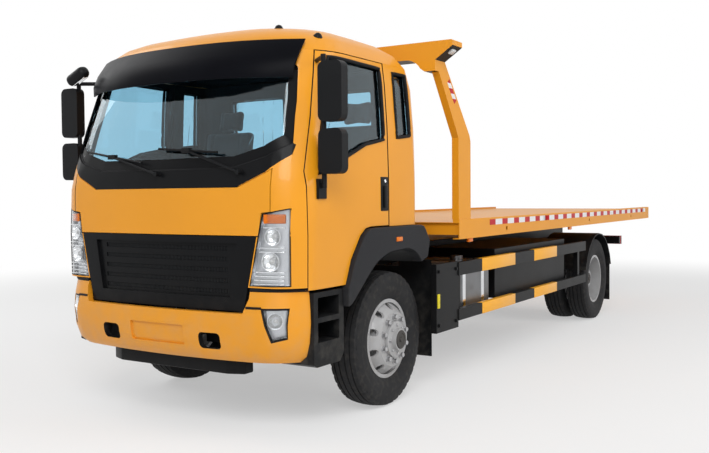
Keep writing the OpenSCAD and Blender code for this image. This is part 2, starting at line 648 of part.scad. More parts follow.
// Doors, each with its glass and mirrors
module door_leaf() difference() {
  intersection() {
    cab_skin(wall);
    across(cab_half - 300, far) polygon(door_outline(-panel_gap));
  }
  across(cab_half - 300, far) polygon(door_window(0));
  // Handle pocket
  across(cab_half - 28, far) polygon(soft_box(-172, -112, 1490, 1710, 22));
}
module door_glass() intersection() {
  cab_skin(glass_in + glass_t, glass_in, glazing);
  across(cab_half - 300, far) polygon(door_window(fit));
}
mirror_y = -990;
module mirror_set() {
  lengthwise(mirror_y - 40, mirror_y + 35) polygon(soft_box(1140, 1322, 2065, 2450, 45));
  lengthwise(mirror_y - 40, mirror_y + 35) polygon(soft_box(1140, 1322, 1730, 2020, 45));
  rod([1160, mirror_y, 1640], [1160, mirror_y, 2500], 17);
  difference() {
    union() {
      rod([960, -800, drip_z - 75], [1160, mirror_y, drip_z - 80], 15);
      rod([1060, mirror_y + 10, 1655], [1160, mirror_y, 1655], 16);
      lengthwise(mirror_y - 30, mirror_y + 60) polygon(soft_box(1080, 1138, 1570, 1700, 8));
    }
    cab_form(-fit);
  }
}
module door_left() color(yellow) in_place() door_leaf();
module door_right() color(yellow) in_place() mirror([1, 0, 0]) door_leaf();
module door_glass_left() color(dark_glass) in_place() door_glass();
module door_glass_right() color(dark_glass) in_place() mirror([1, 0, 0]) door_glass();
module mirror_left() color(black) in_place() mirror_set();
module mirror_right() color(black) in_place() mirror([1, 0, 0]) mirror_set();

// Steering
spindle_r = 45;
arm_y = 210;
arm_z = wheel_z - 115;
ball_r = 16;
module knuckle() {
  difference() {
    union() {
      // Ears above and below the axle eye, joined outboard of it
      for (z = [wheel_z - kingpin_h, wheel_z + kingpin_h / 2 + 2])
        translate([kingpin_x, 0, z]) cylinder(r = 52, h = kingpin_h / 2 - 2);
      block(kingpin_x + 30, kingpin_x + 85, -52, 52, wheel_z - kingpin_h, wheel_z - kingpin_h / 2 - 2);
      block(kingpin_x + 30, kingpin_x + 85, -52, 52, wheel_z + kingpin_h / 2 + 2, wheel_z + kingpin_h);
      block(kingpin_x + 58, kingpin_x + 85, -52, 52, wheel_z - kingpin_h, wheel_z + kingpin_h);
      // Arm to the tie rod
      block(kingpin_x - 22, kingpin_x + 22, 0, arm_y + 22, arm_z, arm_z + 28);
    }
    translate([kingpin_x, 0, 0]) cylinder(r = kingpin_r + fit, h = 2 * wheel_z);
    translate([kingpin_x, 0, wheel_z - kingpin_h / 2 - 1]) cylinder(r = 54, h = kingpin_h + 2);
  }
  rod([kingpin_x + 80, 0, wheel_z], [front_track / 2 + 140, 0, wheel_z], spindle_r);
  translate([kingpin_x, arm_y, arm_z - 60]) cylinder(r = ball_r, h = 62);
}
module knuckle_left() color(steel) in_place() knuckle();
module knuckle_right() color(steel) in_place() mirror([1, 0, 0]) knuckle();
module tie_rod() color(steel) in_place() difference() {
  union() {
    rod([-kingpin_x + 30, arm_y, arm_z - 35], [kingpin_x - 30, arm_y, arm_z - 35], 17);
    both_sides() translate([kingpin_x, arm_y, arm_z - 55]) cylinder(r = 36, h = 40);
  }
  both_sides() translate([kingpin_x, arm_y, 0]) cylinder(r = ball_r + fit, h = 2 * wheel_z);
}

// Wheels, drawn about X with the outer side towards +X
bead_r = rim_d / 2;
tyre_r = tyre_d / 2;
rim_half = rim_w / 2;
flange_t = 11;
flange_r = bead_r + 13;
dish = twin_pitch / 2 - fit / 2;
module about_x(x) translate([x, 0, wheel_z]) rotate([0, 90, 0]) rotate_extrude($fn = 96) children();
module tyre_ring(x) about_x(x) {
  s = rim_half - flange_t - fit;
  half = [[bead_r + fit, s], [flange_r + 4, s], [flange_r + 30, s + 24], [tyre_r - 110, tyre_w / 2],
          [tyre_r - 55, tyre_w / 2 - 4], [tyre_r - 20, tyre_w / 2 - 17], [tyre_r, tyre_w / 2 - 34]];
  polygon(concat([for (p = half) [p.x, p.y]], [for (i = [len(half) - 1:-1:0]) [half[i].x, -half[i].y]]));
}
// A rim whose disc reaches out by the dish, to the side given by side
module rim_ring(x, side) difference() {
  about_x(x) {
    polygon([[bead_r - 14, -rim_half], [flange_r, -rim_half], [flange_r, -rim_half + flange_t],
             [bead_r, -rim_half + flange_t], [bead_r, rim_half - flange_t],
             [flange_r, rim_half - flange_t], [flange_r, rim_half],
             [bead_r - 14, rim_half]]);
    polygon([[bead_r - 5, side * 40], [bead_r - 5, side * 58], [238, side * (dish - 28)], [205, side * dish],
             [136, side * dish], [136, side * (dish - 13)], [198, side * (dish - 13)],
             [228, side * (dish - 40)]]);
  }
  for (i = [0:hand_holes - 1])
    translate([x, 0, wheel_z])
      rotate([i * 360 / hand_holes, 0, 0])
        rod([side * 20, 0, 244], [side * 180, 0, 244], 26);
}
module hub(x, back, front, flange0, flange1, nose, nose_r) about_x(x)
  polygon([[spindle_r + fit, back], [200, back], [200, flange0 - 30], [170, flange0], [190, flange0],
           [190, flange1], [134, flange1], [134, front], [nose_r, front + 10], [nose_r, nose],
           [0, nose], [0, nose - 20],
           [spindle_r + fit, nose - 20]]);
module front_rim() {
  rim_ring(front_track / 2, 1);
  hub(front_track / 2, -70, dish + 22, dish - 35, dish - 13 - fit, dish + 60, 82);
}
module rear_rims() {
  rim_ring(rear_track / 2 + twin_pitch / 2, -1);
  rim_ring(rear_track / 2 - twin_pitch / 2, 1);
  hub(rear_track / 2, -210, 40, -50, -13 - fit - fit, 170, 108);
}
module rear_tyres() for (s = [-1, 1]) tyre_ring(rear_track / 2 + s * twin_pitch / 2);
module tyre_front_left() color(black) in_place() tyre_ring(front_track / 2);
module tyre_front_right() color(black) in_place() mirror([1, 0, 0]) tyre_ring(front_track / 2);
module rim_front_left() color(silver) in_place() front_rim();
module rim_front_right() color(silver) in_place() mirror([1, 0, 0]) front_rim();
module tyres_rear_left() color(black) in_place() translate([0, wheelbase, 0]) rear_tyres();
module tyres_rear_right() color(black) in_place() translate([0, wheelbase, 0]) mirror([1, 0, 0]) rear_tyres();
module rims_rear_left() color(silver) in_place() translate([0, wheelbase, 0]) rear_rims();
module rims_rear_right() color(silver) in_place() translate([0, wheelbase, 0]) mirror([1, 0, 0]) rear_rims();

// Tilt frame, on a pivot at the tail of the chassis
pivot_y = wheelbase + 1000;
pivot_z = 930;
pivot_r = 30;
tilt_z0 = frame_top_z + 8;
tilt_z1 = tilt_z0 + 120;
tilt_x0 = 300;
tilt_x1 = 380;
lift_x = 250;
lift_y = pivot_y - 808;
lift_z = 639;
eye_y = pivot_y - 846;
eye_z = 1093;
lift_pin_r = 24;
slide_z = 1092;
slide_r = 30;
slide_y0 = bed_front_y + 430;
slide_y1 = slide_y0 + bed_travel + 150;
module tilt_frame() color(steel) in_place() {
  both_sides() {
    block(tilt_x0, tilt_x1, bed_front_y + 150, pivot_y + 5, tilt_z0, tilt_z1);
    for (y = [bed_front_y + 200, pivot_y - 120])
      block(tilt_x0, tilt_x1, y - 80, y + 80, tilt_z1, tilt_z1 + 5.5);
    block(tilt_x0 - 40, tilt_x0 + 20, pivot_y - 60, pivot_y, pivot_z - 60, tilt_z1);
    rod([tilt_x0 - 40, pivot_y, pivot_z], [rail_x - rail_t - 4, pivot_y, pivot_z], pivot_r);
    rod([tilt_x0 - 40, pivot_y, pivot_z], [tilt_x0 + 20, pivot_y, pivot_z], 60);
    rod([lift_x - 40, eye_y, eye_z], [tilt_x0 + 10, eye_y, eye_z], lift_pin_r);
  }
  for (y = [bed_front_y + 250, slide_y0 + 100, 3000, slide_y1 - 100])
    block(-tilt_x0 - 10, tilt_x0 + 10, y - 40, y + 40, tilt_z0, slide_z - 36);
  block(-tilt_x0 - 10, tilt_x0 + 10, pivot_y - 100, pivot_y - 40, tilt_z0 - 60, tilt_z0 + 35);
  // Slide cylinder barrel
  difference() {
    rod([0, slide_y0, slide_z], [0, slide_y1, slide_z], 46);
    rod([0, slide_y0 + 30, slide_z], [0, slide_y1 + 1, slide_z], slide_r + 1);
  }
}
lift_len = norm([eye_y - lift_y, eye_z - lift_z]);
lift_a = atan2(lift_y - eye_y, eye_z - lift_z);
module along_lift() translate([lift_x, lift_y, lift_z]) rotate([lift_a, 0, 0]) children();
module lift_barrels() color(grey) in_place() both_sides() along_lift() difference() {
  union() {
    rod([-38, 0, 0], [38, 0, 0], 44);
    translate([0, 0, 20]) cylinder(r = 44, h = 320);
  }
  rod([-50, 0, 0], [50, 0, 0], lift_pin_r + fit);
  translate([0, 0, 70]) cylinder(r = 31, h = 300);
}
module lift_rods() color(silver) in_place() both_sides() along_lift() difference() {
  union() {
    translate([0, 0, 85]) cylinder(r = 30, h = lift_len - 85 - 20);
    translate([0, 0, lift_len]) rod([-34, 0, 0], [34, 0, 0], 44);
  }
  translate([0, 0, lift_len]) rod([-36, 0, 0], [36, 0, 0], lift_pin_r + 2);
}

// Bed
bed_half = bed_w / 2;
beam_z0 = tilt_z1 + 6;
beam_h = 120;
cross_n = 11;
rail_w = 60;
function cross_y(i) = bed_front_y + 60 + i * (bed_tail_y - bed_front_y - 120) / (cross_n - 1);
lash_bays = [1, 5, 8];
lash_r = 22;
lash_z = bed_rail_z - 110;
seam_y = bed_front_y + 620;
module bed_deck() color(yellow) in_place() {
  both_sides() {
    difference() {
      block(bed_half - rail_w, bed_half, bed_front_y, bed_tail_y, bed_rail_z - bed_rail_h, bed_rail_z);
      block(bed_half - rail_w - 1, bed_half - 8, bed_front_y - 1, bed_tail_y - 20,
            bed_rail_z - bed_rail_h + 8, deck_z - deck_t);
      for (bay = lash_bays)
        rod([bed_half - 70, cross_y(bay + 0.5), lash_z], [bed_half + 1, cross_y(bay + 0.5), lash_z], lash_r);
    }
    block(tilt_x0, tilt_x1, bed_front_y + 60, bed_tail_y - 500, beam_z0, beam_z0 + beam_h);
  }
  // Deck, with a seam behind the winch
  difference() {
    block(-bed_half + 4, bed_half - 4, bed_front_y, bed_tail_y, deck_z - deck_t, deck_z);
    block(-bed_half + rail_w, bed_half - rail_w, seam_y - 3, seam_y + 3, deck_z - deck_t / 2, deck_z + 1);
  }
  for (i = [0:cross_n - 1])
    block(-bed_half + 7, bed_half - 7, cross_y(i) - 30, cross_y(i) + 30,
          beam_z0 + beam_h, deck_z - deck_t + 1);
  block(-bed_half + 4, bed_half - 4, bed_tail_y - 20, bed_tail_y, bed_rail_z - bed_rail_h + 20, deck_z - 1);
  // Slide rod and its lug
  rod([0, slide_y0 + 40, slide_z], [0, slide_y1 + 150, slide_z], slide_r);
  block(-50, 50, slide_y1 + 100, slide_y1 + 160, slide_z - 36, beam_z0 + beam_h);
  block(-tilt_x0 - 5, tilt_x0 + 5, slide_y1 + 100, slide_y1 + 160, beam_z0 + 40, beam_z0 + beam_h);
}
// Gantry over the front of the bed
post_y0 = bed_front_y;
post_y1 = bed_front_y + 240;
module gantry() color(yellow) in_place() {
  both_sides() across(bed_half - 66, bed_half - 5) polygon([
    [post_y0, bed_rail_z], [post_y1, bed_rail_z], [post_y1, 2040], [post_y1 - 20, 2090],
    [post_y0 - 255, gantry_z - 140], [post_y0 - 425, gantry_z - 140], [post_y0, 2060]]);
  lengthwise(post_y0 - 425, post_y0 - 250) {
    g = gantry_w / 2;
    half = concat(
      [[0, gantry_z], [0, gantry_z - 130]],
      arc([bed_half - 266, gantry_z - 280], 150, 90, 30, 5),
      [[bed_half - 100, gantry_z - 230], [bed_half - 66, gantry_z - 230], [bed_half - 5, gantry_z - 230],
       [bed_half - 5, gantry_z - 145], [g, gantry_z - 45], [g, gantry_z - 6], [g - 12, gantry_z]]);
    polygon(half);
    mirror([1, 0]) polygon(half);
  }
}
// Winch at the front of the bed
winch_y = bed_front_y + 300;
winch_z = deck_z + 190;
drum_half = 190;
drum_r = 80;
module winch_frame() color(steel) in_place() {
  both_sides() difference() {
    block(drum_half + 20, drum_half + 50, winch_y - 170, winch_y + 170, deck_z, winch_z + 150);
    rod([drum_half, winch_y, winch_z], [drum_half + 60, winch_y, winch_z], 30 + fit);
  }
  block(-drum_half - 50, drum_half + 50, winch_y - 170, winch_y + 170, deck_z, deck_z + 20);
  rod([drum_half + 95, winch_y - 90, winch_z - 70], [drum_half + 300, winch_y - 90, winch_z - 70], 70);
  block(drum_half + 40, drum_half + 100, winch_y - 160, winch_y + 40, deck_z, winch_z);
}
module winch_drum() color(grey) in_place() {
  rod([-drum_half - 45, winch_y, winch_z], [drum_half + 38, winch_y, winch_z], 30);
  rod([-drum_half, winch_y, winch_z], [drum_half, winch_y, winch_z], drum_r);
  both_sides() rod([drum_half - 15, winch_y, winch_z], [drum_half, winch_y, winch_z], 140);
}

chassis_frame();
front_axle();
rear_axle();
leaf_springs();
driveline();
fuel_tank();
side_boxes();
side_guards();
rear_mudguards();
rear_bar();
tail_lamps();
cab_front();
cab_rear();
cab_floor();
cab_roof();
windscreen();
cab_windows();
cowl_panel();
wipers();
sun_visor();
grille();
front_lamps();
bumper();
wheel_arches();
cab_steps();
dashboard();
seats();
front_flap();
steering_wheel();
door_left();
door_glass_left();
mirror_left();
door_right();
door_glass_right();
mirror_right();
knuckle_left();
knuckle_right();
tie_rod();
tyre_front_left();
rim_front_left();
tyre_front_right();
rim_front_right();
tyres_rear_left();
rims_rear_left();
tyres_rear_right();
rims_rear_right();
tilt_frame();
lift_barrels();
lift_rods();
bed_deck();
gantry();
winch_frame();
winch_drum();
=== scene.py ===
"""A flatbed recovery truck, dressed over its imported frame.

All lengths are metres. The cab faces -Y, +X is the truck's left and +Z is up.
"""
from __future__ import annotations

import json
import logging
import math
from dataclasses import dataclass, field
from enum import Enum
from typing import Any, Callable, Dict, Iterator, List, Optional, Sequence, Tuple, Union

import bmesh
import bpy
from mathutils import Matrix, Vector
from mathutils.bvhtree import BVHTree

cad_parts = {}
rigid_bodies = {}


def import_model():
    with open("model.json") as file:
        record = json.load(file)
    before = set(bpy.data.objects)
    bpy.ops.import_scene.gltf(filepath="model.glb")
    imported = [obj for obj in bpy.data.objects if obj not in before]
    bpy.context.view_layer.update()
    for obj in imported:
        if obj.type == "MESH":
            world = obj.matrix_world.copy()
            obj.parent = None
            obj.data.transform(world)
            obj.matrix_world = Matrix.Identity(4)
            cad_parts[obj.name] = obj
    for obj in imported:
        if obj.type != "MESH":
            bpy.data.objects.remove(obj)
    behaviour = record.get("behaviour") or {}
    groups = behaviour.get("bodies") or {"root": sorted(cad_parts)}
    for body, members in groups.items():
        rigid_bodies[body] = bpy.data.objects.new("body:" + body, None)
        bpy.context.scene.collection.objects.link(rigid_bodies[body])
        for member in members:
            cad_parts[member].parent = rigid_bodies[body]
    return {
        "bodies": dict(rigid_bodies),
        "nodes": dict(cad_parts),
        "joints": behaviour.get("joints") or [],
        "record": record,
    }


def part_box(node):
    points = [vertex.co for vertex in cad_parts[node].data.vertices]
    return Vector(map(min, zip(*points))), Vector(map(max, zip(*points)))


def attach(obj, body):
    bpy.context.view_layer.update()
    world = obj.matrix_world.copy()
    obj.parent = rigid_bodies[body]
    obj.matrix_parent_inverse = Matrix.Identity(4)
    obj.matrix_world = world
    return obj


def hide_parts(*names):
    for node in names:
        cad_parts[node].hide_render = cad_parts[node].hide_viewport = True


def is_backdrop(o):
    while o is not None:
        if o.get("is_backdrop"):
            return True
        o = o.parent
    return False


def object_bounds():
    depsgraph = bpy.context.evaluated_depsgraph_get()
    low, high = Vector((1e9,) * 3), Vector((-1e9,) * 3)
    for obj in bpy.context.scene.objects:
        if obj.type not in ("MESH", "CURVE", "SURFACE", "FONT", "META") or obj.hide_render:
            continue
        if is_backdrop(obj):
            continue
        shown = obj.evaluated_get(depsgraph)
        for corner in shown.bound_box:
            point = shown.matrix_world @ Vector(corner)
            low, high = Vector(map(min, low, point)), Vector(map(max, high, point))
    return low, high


LOG = logging.getLogger("truck")
# Where rays start, clear of the truck.
AHEAD = 20.0
ASIDE = 5.0
ABOVE = 9.0
# Points closer than these are one, in a mould and among a node's facets.
SAME_POINT = 1e-6
SAME_CORNER = 2e-5
# Bends under the first count as flat, and edges over the second are rounded.
FLAT_BEND = math.radians(0.1)
ROUND_BEND = math.radians(32.0)
# Facets round a thin bead.
BEAD_SIDES = 8

Colour = Tuple[float, float, float]
Pair = Tuple[float, float]
Size = Tuple[float, float, float]
Point = Sequence[float]
Input = Union["Sock", float, Sequence[float]]


class Slot(Enum):
    """The record's material slots."""

    YELLOW = "yellow_paint"
    CHASSIS = "chassis_paint"
    DRIVELINE = "driveline_metal"
    TANK = "tank_aluminium"
    CHROME = "rod_chrome"
    DARK = "dark_plastic"
    GREY = "grey_plastic"
    FABRIC = "seat_fabric"
    GLASS = "glass"
    LENS = "lamp_lens"
    TAIL = "tail_lens"
    TYRE = "tyre"
    RIM = "rim_paint"


class Side(Enum):
    """A side of the truck, by the sign of its x."""

    LEFT = 1
    RIGHT = -1

    @property
    def word(self) -> str:
        """The side as it is written in names."""
        return self.name.lower()

    @property
    def out(self) -> Vector:
        """Outward on this side."""
        return Vector((self.value, 0.0, 0.0))


class Sock:
    """A node's output that takes part in shader maths."""

    def __init__(self, desk: "Desk", socket: Any) -> None:
        """Keeps the socket with the desk that its nodes go on."""
        self.desk = desk
        self.socket = socket

    def _math(self, operation: str, *values: Input) -> "Sock":
        """Adds a Math node.

        Args:
            operation: Blender's name for it.
            values: Its inputs in order.

        Returns:
            The result.
        """
        return self.desk.add("Math", dict(enumerate(values)), operation=operation)

    def __add__(self, other: Input) -> "Sock":
        """Sum."""
        return self._math("ADD", self, other)

    __radd__ = __add__

    def __sub__(self, other: Input) -> "Sock":
        """Difference."""
        return self._math("SUBTRACT", self, other)

    def __rsub__(self, other: Input) -> "Sock":
        """Difference, the other way round."""
        return self._math("SUBTRACT", other, self)

    def __mul__(self, other: Input) -> "Sock":
        """Product."""
        return self._math("MULTIPLY", self, other)

    __rmul__ = __mul__

    def __truediv__(self, other: Input) -> "Sock":
        """Quotient."""
        return self._math("DIVIDE", self, other)

    def __rtruediv__(self, other: Input) -> "Sock":
        """Quotient, the other way round."""
        return self._math("DIVIDE", other, self)

    def __pow__(self, power: Input) -> "Sock":
        """Power."""
        return self._math("POWER", self, power)

    def __abs__(self) -> "Sock":
        """Size without sign."""
        return self._math("ABSOLUTE", self)

    def sin(self) -> "Sock":
        """Sine of an angle in radians."""
        return self._math("SINE", self)

    def fract(self) -> "Sock":
        """Part after the point."""
        return self._math("FRACT", self)

    def over(self, limit: float) -> "Sock":
        """1 where the value is greater than the limit, else 0."""
        return self._math("GREATER_THAN", self, limit)

    def ramp(self, low: float, high: float) -> "Sock":
        """Smooth rise from 0 at low to 1 at high."""
        return self.desk.add("MapRange", {"Value": self, "From Min": low, "From Max": high},
                             interpolation_type="SMOOTHSTEP")


class Desk:
    """A node tree that a finish is laid out on."""

    def __init__(self, tree: Any) -> None:
        """Clears the tree."""
        self.tree = tree
        tree.nodes.clear()
        self._place: Optional[Sock] = None

    def add(self, kind: str, sockets: Optional[Dict[Any, Input]] = None, out: Any = 0,
            **settings: Any) -> Sock:
        """Adds any node.

        Args:
            kind: The node's type, without its ShaderNode prefix.
            sockets: Values or links by input name or index.
            out: The output to hand back, by name or index.
            settings: The node's own settings, set before its sockets.

        Returns:
            The chosen output.
        """
        node = self.tree.nodes.new("ShaderNode" + kind)
        for name, value in settings.items():
            setattr(node, name, value)
        for key, value in (sockets or {}).items():
            if isinstance(value, Sock):
                self.tree.links.new(value.socket, node.inputs[key])
            else:
                node.inputs[key].default_value = value
        return Sock(self, node.outputs[out] if len(node.outputs) else None)

    @property
    def place(self) -> Sock:
        """The point in the truck's frame."""
        if self._place is None:
            self._place = self.add("TexCoord", out="Object")
        return self._place

    def axis(self, index: int) -> Sock:
        """The point's x, y or z."""
        return self.add("SeparateXYZ", {0: self.place}, out=index)

    def stretched(self, scale: Point) -> Sock:
        """The point with each axis scaled."""
        return self.add("VectorMath", {0: self.place, 1: tuple(scale)}, operation="MULTIPLY")

    def noise(self, scale: float, detail: float = 2.0, stretch: Point = (1.0, 1.0, 1.0)) -> Sock:
        """Noise from 0 to 1.

        Args:
            scale: Features per metre.
            detail: Octaves.
            stretch: Scale of each axis.

        Returns:
            The noise.
        """
        place = self.place if tuple(stretch) == (1.0, 1.0, 1.0) else self.stretched(stretch)
        return self.add("TexNoise", {"Vector": place, "Scale": scale, "Detail": detail})

    def cells(self, scale: float) -> Sock:
        """Distance to the nearest cell's middle."""
        return self.add("TexVoronoi", {"Vector": self.place, "Scale": scale})

    def mix(self, factor: Input, a: Union[Sock, Colour], b: Union[Sock, Colour]) -> Sock:
        """A colour between two.

        Args:
            factor: 0 gives a, 1 gives b.
            a: First colour.
            b: Second colour.

        Returns:
            The colour.
        """
        pair = [value if isinstance(value, Sock) else (*value, 1.0) for value in (a, b)]
        return self.add("Mix", {0: factor, 6: pair[0], 7: pair[1]}, out=2, data_type="RGBA")

    def bump(self, height: Sock, distance: float, strength: float = 1.0) -> Sock:
        """A normal from a height map.

        Args:
            height: Height from 0 to 1.
            distance: Depth of the map in metres.
            strength: Share of the effect.

        Returns:
            The normal.
        """
        return self.add("Bump", {"Height": height, "Distance": distance, "Strength": strength})

    def surface(self, **inputs: Input) -> None:
        """Ends in a Principled shader.

        Args:
            inputs: Its inputs, with underscores for spaces.
        """
        named = {key.replace("_", " "): value for key, value in inputs.items()}
        self.output(self.add("BsdfPrincipled", named))

    def output(self, shader: Sock) -> None:
        """Links a shader to the material's output."""
        self.add("OutputMaterial", {"Surface": shader})


def shade(colour: Colour, factor: float) -> Colour:
    """A colour made lighter or darker."""
    return (colour[0] * factor, colour[1] * factor, colour[2] * factor)


@dataclass(frozen=True)
class Finish:
    """A named finish, made once."""

    name: str
    slot: Slot

    def lay(self, desk: Desk) -> None:
        """Lays the nodes out."""
        raise NotImplementedError

    def material(self) -> bpy.types.Material:
        """The finish's material."""
        found = bpy.data.materials.get(self.name)
        if found is None:
            found = bpy.data.materials.new(self.name)
            found.use_nodes = True
            self.lay(Desk(found.node_tree))
        return found


@dataclass(frozen=True)
class Paint(Finish):
    """Sprayed paint with a clear coat and road dust low down."""

    colour: Colour = (0.5, 0.5, 0.5)
    rough: float = 0.3
    coat: float = 0.6
    dust: float = 0.3
    peel: float = 0.0003
    dust_colour: Colour = (0.36, 0.32, 0.27)
    dust_low: float = 0.35
    dust_high: float = 1.25
    gloss: float = 0.3

    def lay(self, desk: Desk) -> None:
        """Lays drift of tone, dust and orange peel."""
        drift = desk.mix(desk.noise(1.6, 3.0), shade(self.colour, 0.93), shade(self.colour, 1.05))
        low = 1.0 - desk.axis(2).ramp(self.dust_low, self.dust_high)
        film = low * desk.noise(9.0, 5.0).ramp(0.3, 0.75) * self.dust
        specks = desk.noise(160.0, 2.0).ramp(0.62, 0.75) * (low * self.dust)
        mask = film + specks * 0.5
        peel = desk.noise(260.0, 1.0)
        desk.surface(Base_Color=desk.mix(mask, drift, self.dust_colour),
                     Roughness=self.rough + mask * 0.45 + desk.noise(5.0, 3.0) * 0.06,
                     Coat_Weight=self.coat * (1.0 - mask),
                     Coat_Roughness=0.06,
                     Specular_IOR_Level=self.gloss,
                     Normal=desk.bump(peel, self.peel, 0.35))


@dataclass(frozen=True)
class Plastic(Finish):
    """Moulded plastic with a fine grain."""

    colour: Colour = (0.02, 0.02, 0.022)
    rough: float = 0.5
    grain: float = 0.0004
    grain_scale: float = 620.0
    dust: float = 0.2
    dust_colour: Colour = (0.22, 0.2, 0.17)
    dust_low: float = 0.3
    dust_high: float = 1.2
    gloss: float = 0.11

    def lay(self, desk: Desk) -> None:
        """Lays the grain, a faint bloom and dust low down."""
        bloom = desk.noise(4.0, 4.0)
        low = 1.0 - desk.axis(2).ramp(self.dust_low, self.dust_high)
        mask = low * desk.noise(12.0, 4.0).ramp(0.35, 0.8) * self.dust
        tone = desk.mix(bloom, shade(self.colour, 0.8), shade(self.colour, 1.25))
        desk.surface(Base_Color=desk.mix(mask, tone, self.dust_colour),
                     Roughness=self.rough + (bloom - 0.5) * 0.12 + mask * 0.3,
                     Specular_IOR_Level=self.gloss,
                     Normal=desk.bump(desk.cells(self.grain_scale), self.grain, 0.4))


@dataclass(frozen=True)
class Rubber(Finish):
    """Tyre rubber, dusty where it meets the road."""

    colour: Colour = (0.014, 0.014, 0.015)
    dust_colour: Colour = (0.12, 0.108, 0.092)
    dust: float = 0.22

    def lay(self, desk: Desk) -> None:
        """Lays the mottled rubber and its dust."""
        mottle = desk.noise(22.0, 5.0)
        film = mottle.ramp(0.45, 0.8) * self.dust
        tone = desk.mix(desk.noise(6.0, 3.0), shade(self.colour, 0.75), shade(self.colour, 1.5))
        desk.surface(Base_Color=desk.mix(film, tone, self.dust_colour),
                     Roughness=0.68 + mottle * 0.22,
                     Specular_IOR_Level=0.25,
                     Normal=desk.bump(desk.noise(420.0, 3.0), 0.0005, 0.5))


@dataclass(frozen=True)
class Metal(Finish):
    """Bare, cast, brushed or plated metal."""

    colour: Colour = (0.7, 0.7, 0.7)
    rough: float = 0.3
    metallic: float = 1.0
    grain: Size = (1.0, 1.0, 1.0)
    grain_scale: float = 90.0
    depth: float = 0.0002
    grime: float = 0.2
    grime_colour: Colour = (0.09, 0.08, 0.07)

    def lay(self, desk: Desk) -> None:
        """Lays the grain and a film of grime."""
        streaks = desk.noise(self.grain_scale, 4.0, self.grain)
        film = desk.noise(7.0, 5.0).ramp(0.45, 0.85) * self.grime
        tone = desk.mix(streaks, shade(self.colour, 0.88), shade(self.colour, 1.06))
        desk.surface(Base_Color=desk.mix(film, tone, self.grime_colour),
                     Roughness=self.rough + (streaks - 0.5) * 0.14 + film * 0.4,
                     Metallic=self.metallic - film * 0.6,
                     Normal=desk.bump(streaks, self.depth, 0.5))


@dataclass(frozen=True)
class Glass(Finish):
    """Tinted sheet glass or a clear lamp cover."""

    tint: Colour = (0.5, 0.73, 0.84)
    smear: float = 0.02
    ribs: float = 0.0

    def lay(self, desk: Desk) -> None:
        """Lays the tint, faint smears and moulded ribs."""
        smear = desk.noise(5.0, 4.0).ramp(0.5, 0.9)
        inputs: Dict[str, Input] = {
            "Base_Color": desk.mix(smear * 0.3, self.tint, shade(self.tint, 0.92)),
            "Roughness": smear * self.smear,
            "Transmission_Weight": 1.0,
            "IOR": 1.45,
        }
        if self.ribs:
            wave = (desk.axis(0) * self.ribs).sin() * 0.5 + 0.5
            inputs["Normal"] = desk.bump(wave, 0.0006, 0.3)
        desk.surface(**inputs)


@dataclass(frozen=True)
class Lens(Finish):
    """A coloured lamp lens with small prisms moulded in."""

    colour: Colour = (0.9, 0.3, 0.02)
    prisms: float = 150.0

    def lay(self, desk: Desk) -> None:
        """Lays the colour and the prisms."""
        pitch = self.prisms * math.tau
        wave = (desk.axis(1) * pitch).sin() * (desk.axis(2) * pitch).sin()
        height = wave * 0.5 + 0.5
        desk.surface(Base_Color=desk.mix(height, shade(self.colour, 0.7), self.colour),
                     Roughness=0.16 + desk.noise(30.0) * 0.08,
                     Coat_Weight=0.15 - desk.noise(8.0, 3.0) * 0.06,
                     Specular_IOR_Level=0.2,
                     Normal=desk.bump(height, 0.0006, 0.5))


@dataclass(frozen=True)
class Fabric(Finish):
    """Woven seat cloth."""

    colour: Colour = (0.06, 0.062, 0.068)
    threads: float = 420.0

    def lay(self, desk: Desk) -> None:
        """Lays the weave and its faded tone."""
        pitch = self.threads * math.tau
        warp = (desk.axis(0) * pitch).sin()
        weft = ((desk.axis(2) + desk.axis(1)) * pitch).sin()
        weave = warp * weft * 0.5 + 0.5
        fade = desk.noise(6.0, 3.0)
        tone = desk.mix(weave, shade(self.colour, 0.55), shade(self.colour, 1.4))
        desk.surface(Base_Color=desk.mix(fade * 0.35, tone, shade(self.colour, 2.0)),
                     Roughness=0.85 + fade * 0.1,
                     Sheen_Weight=0.3,
                     Normal=desk.bump(weave, 0.0008, 0.6))


@dataclass(frozen=True)
class Tape(Finish):
    """Reflective tape in blocks of two colours along one axis."""

    first: Colour = (0.5, 0.006, 0.014)
    second: Colour = (0.82, 0.82, 0.82)
    pitch: float = 0.3
    start: float = 0.0
    axis: int = 1
    share: float = 0.5

    def lay(self, desk: Desk) -> None:
        """Lays the blocks and the cells of the reflective film."""
        along = (desk.axis(self.axis) - self.start) / self.pitch
        block = along.fract().over(self.share)
        cell = desk.cells(260.0)
        film = desk.mix(cell * 0.5, (1.0, 1.0, 1.0), (0.82, 0.82, 0.82))
        tint = desk.mix(block, self.first, self.second)
        colour = desk.add("Mix", {0: 1.0, 6: tint, 7: film}, out=2, data_type="RGBA", blend_type="MULTIPLY")
        desk.surface(Base_Color=colour,
                     Roughness=0.4 + desk.noise(14.0, 3.0) * 0.15,
                     Coat_Weight=0.12 - desk.noise(9.0, 3.0) * 0.06,
                     Specular_IOR_Level=0.2,
                     Normal=desk.bump(cell, 0.0003, 0.4))


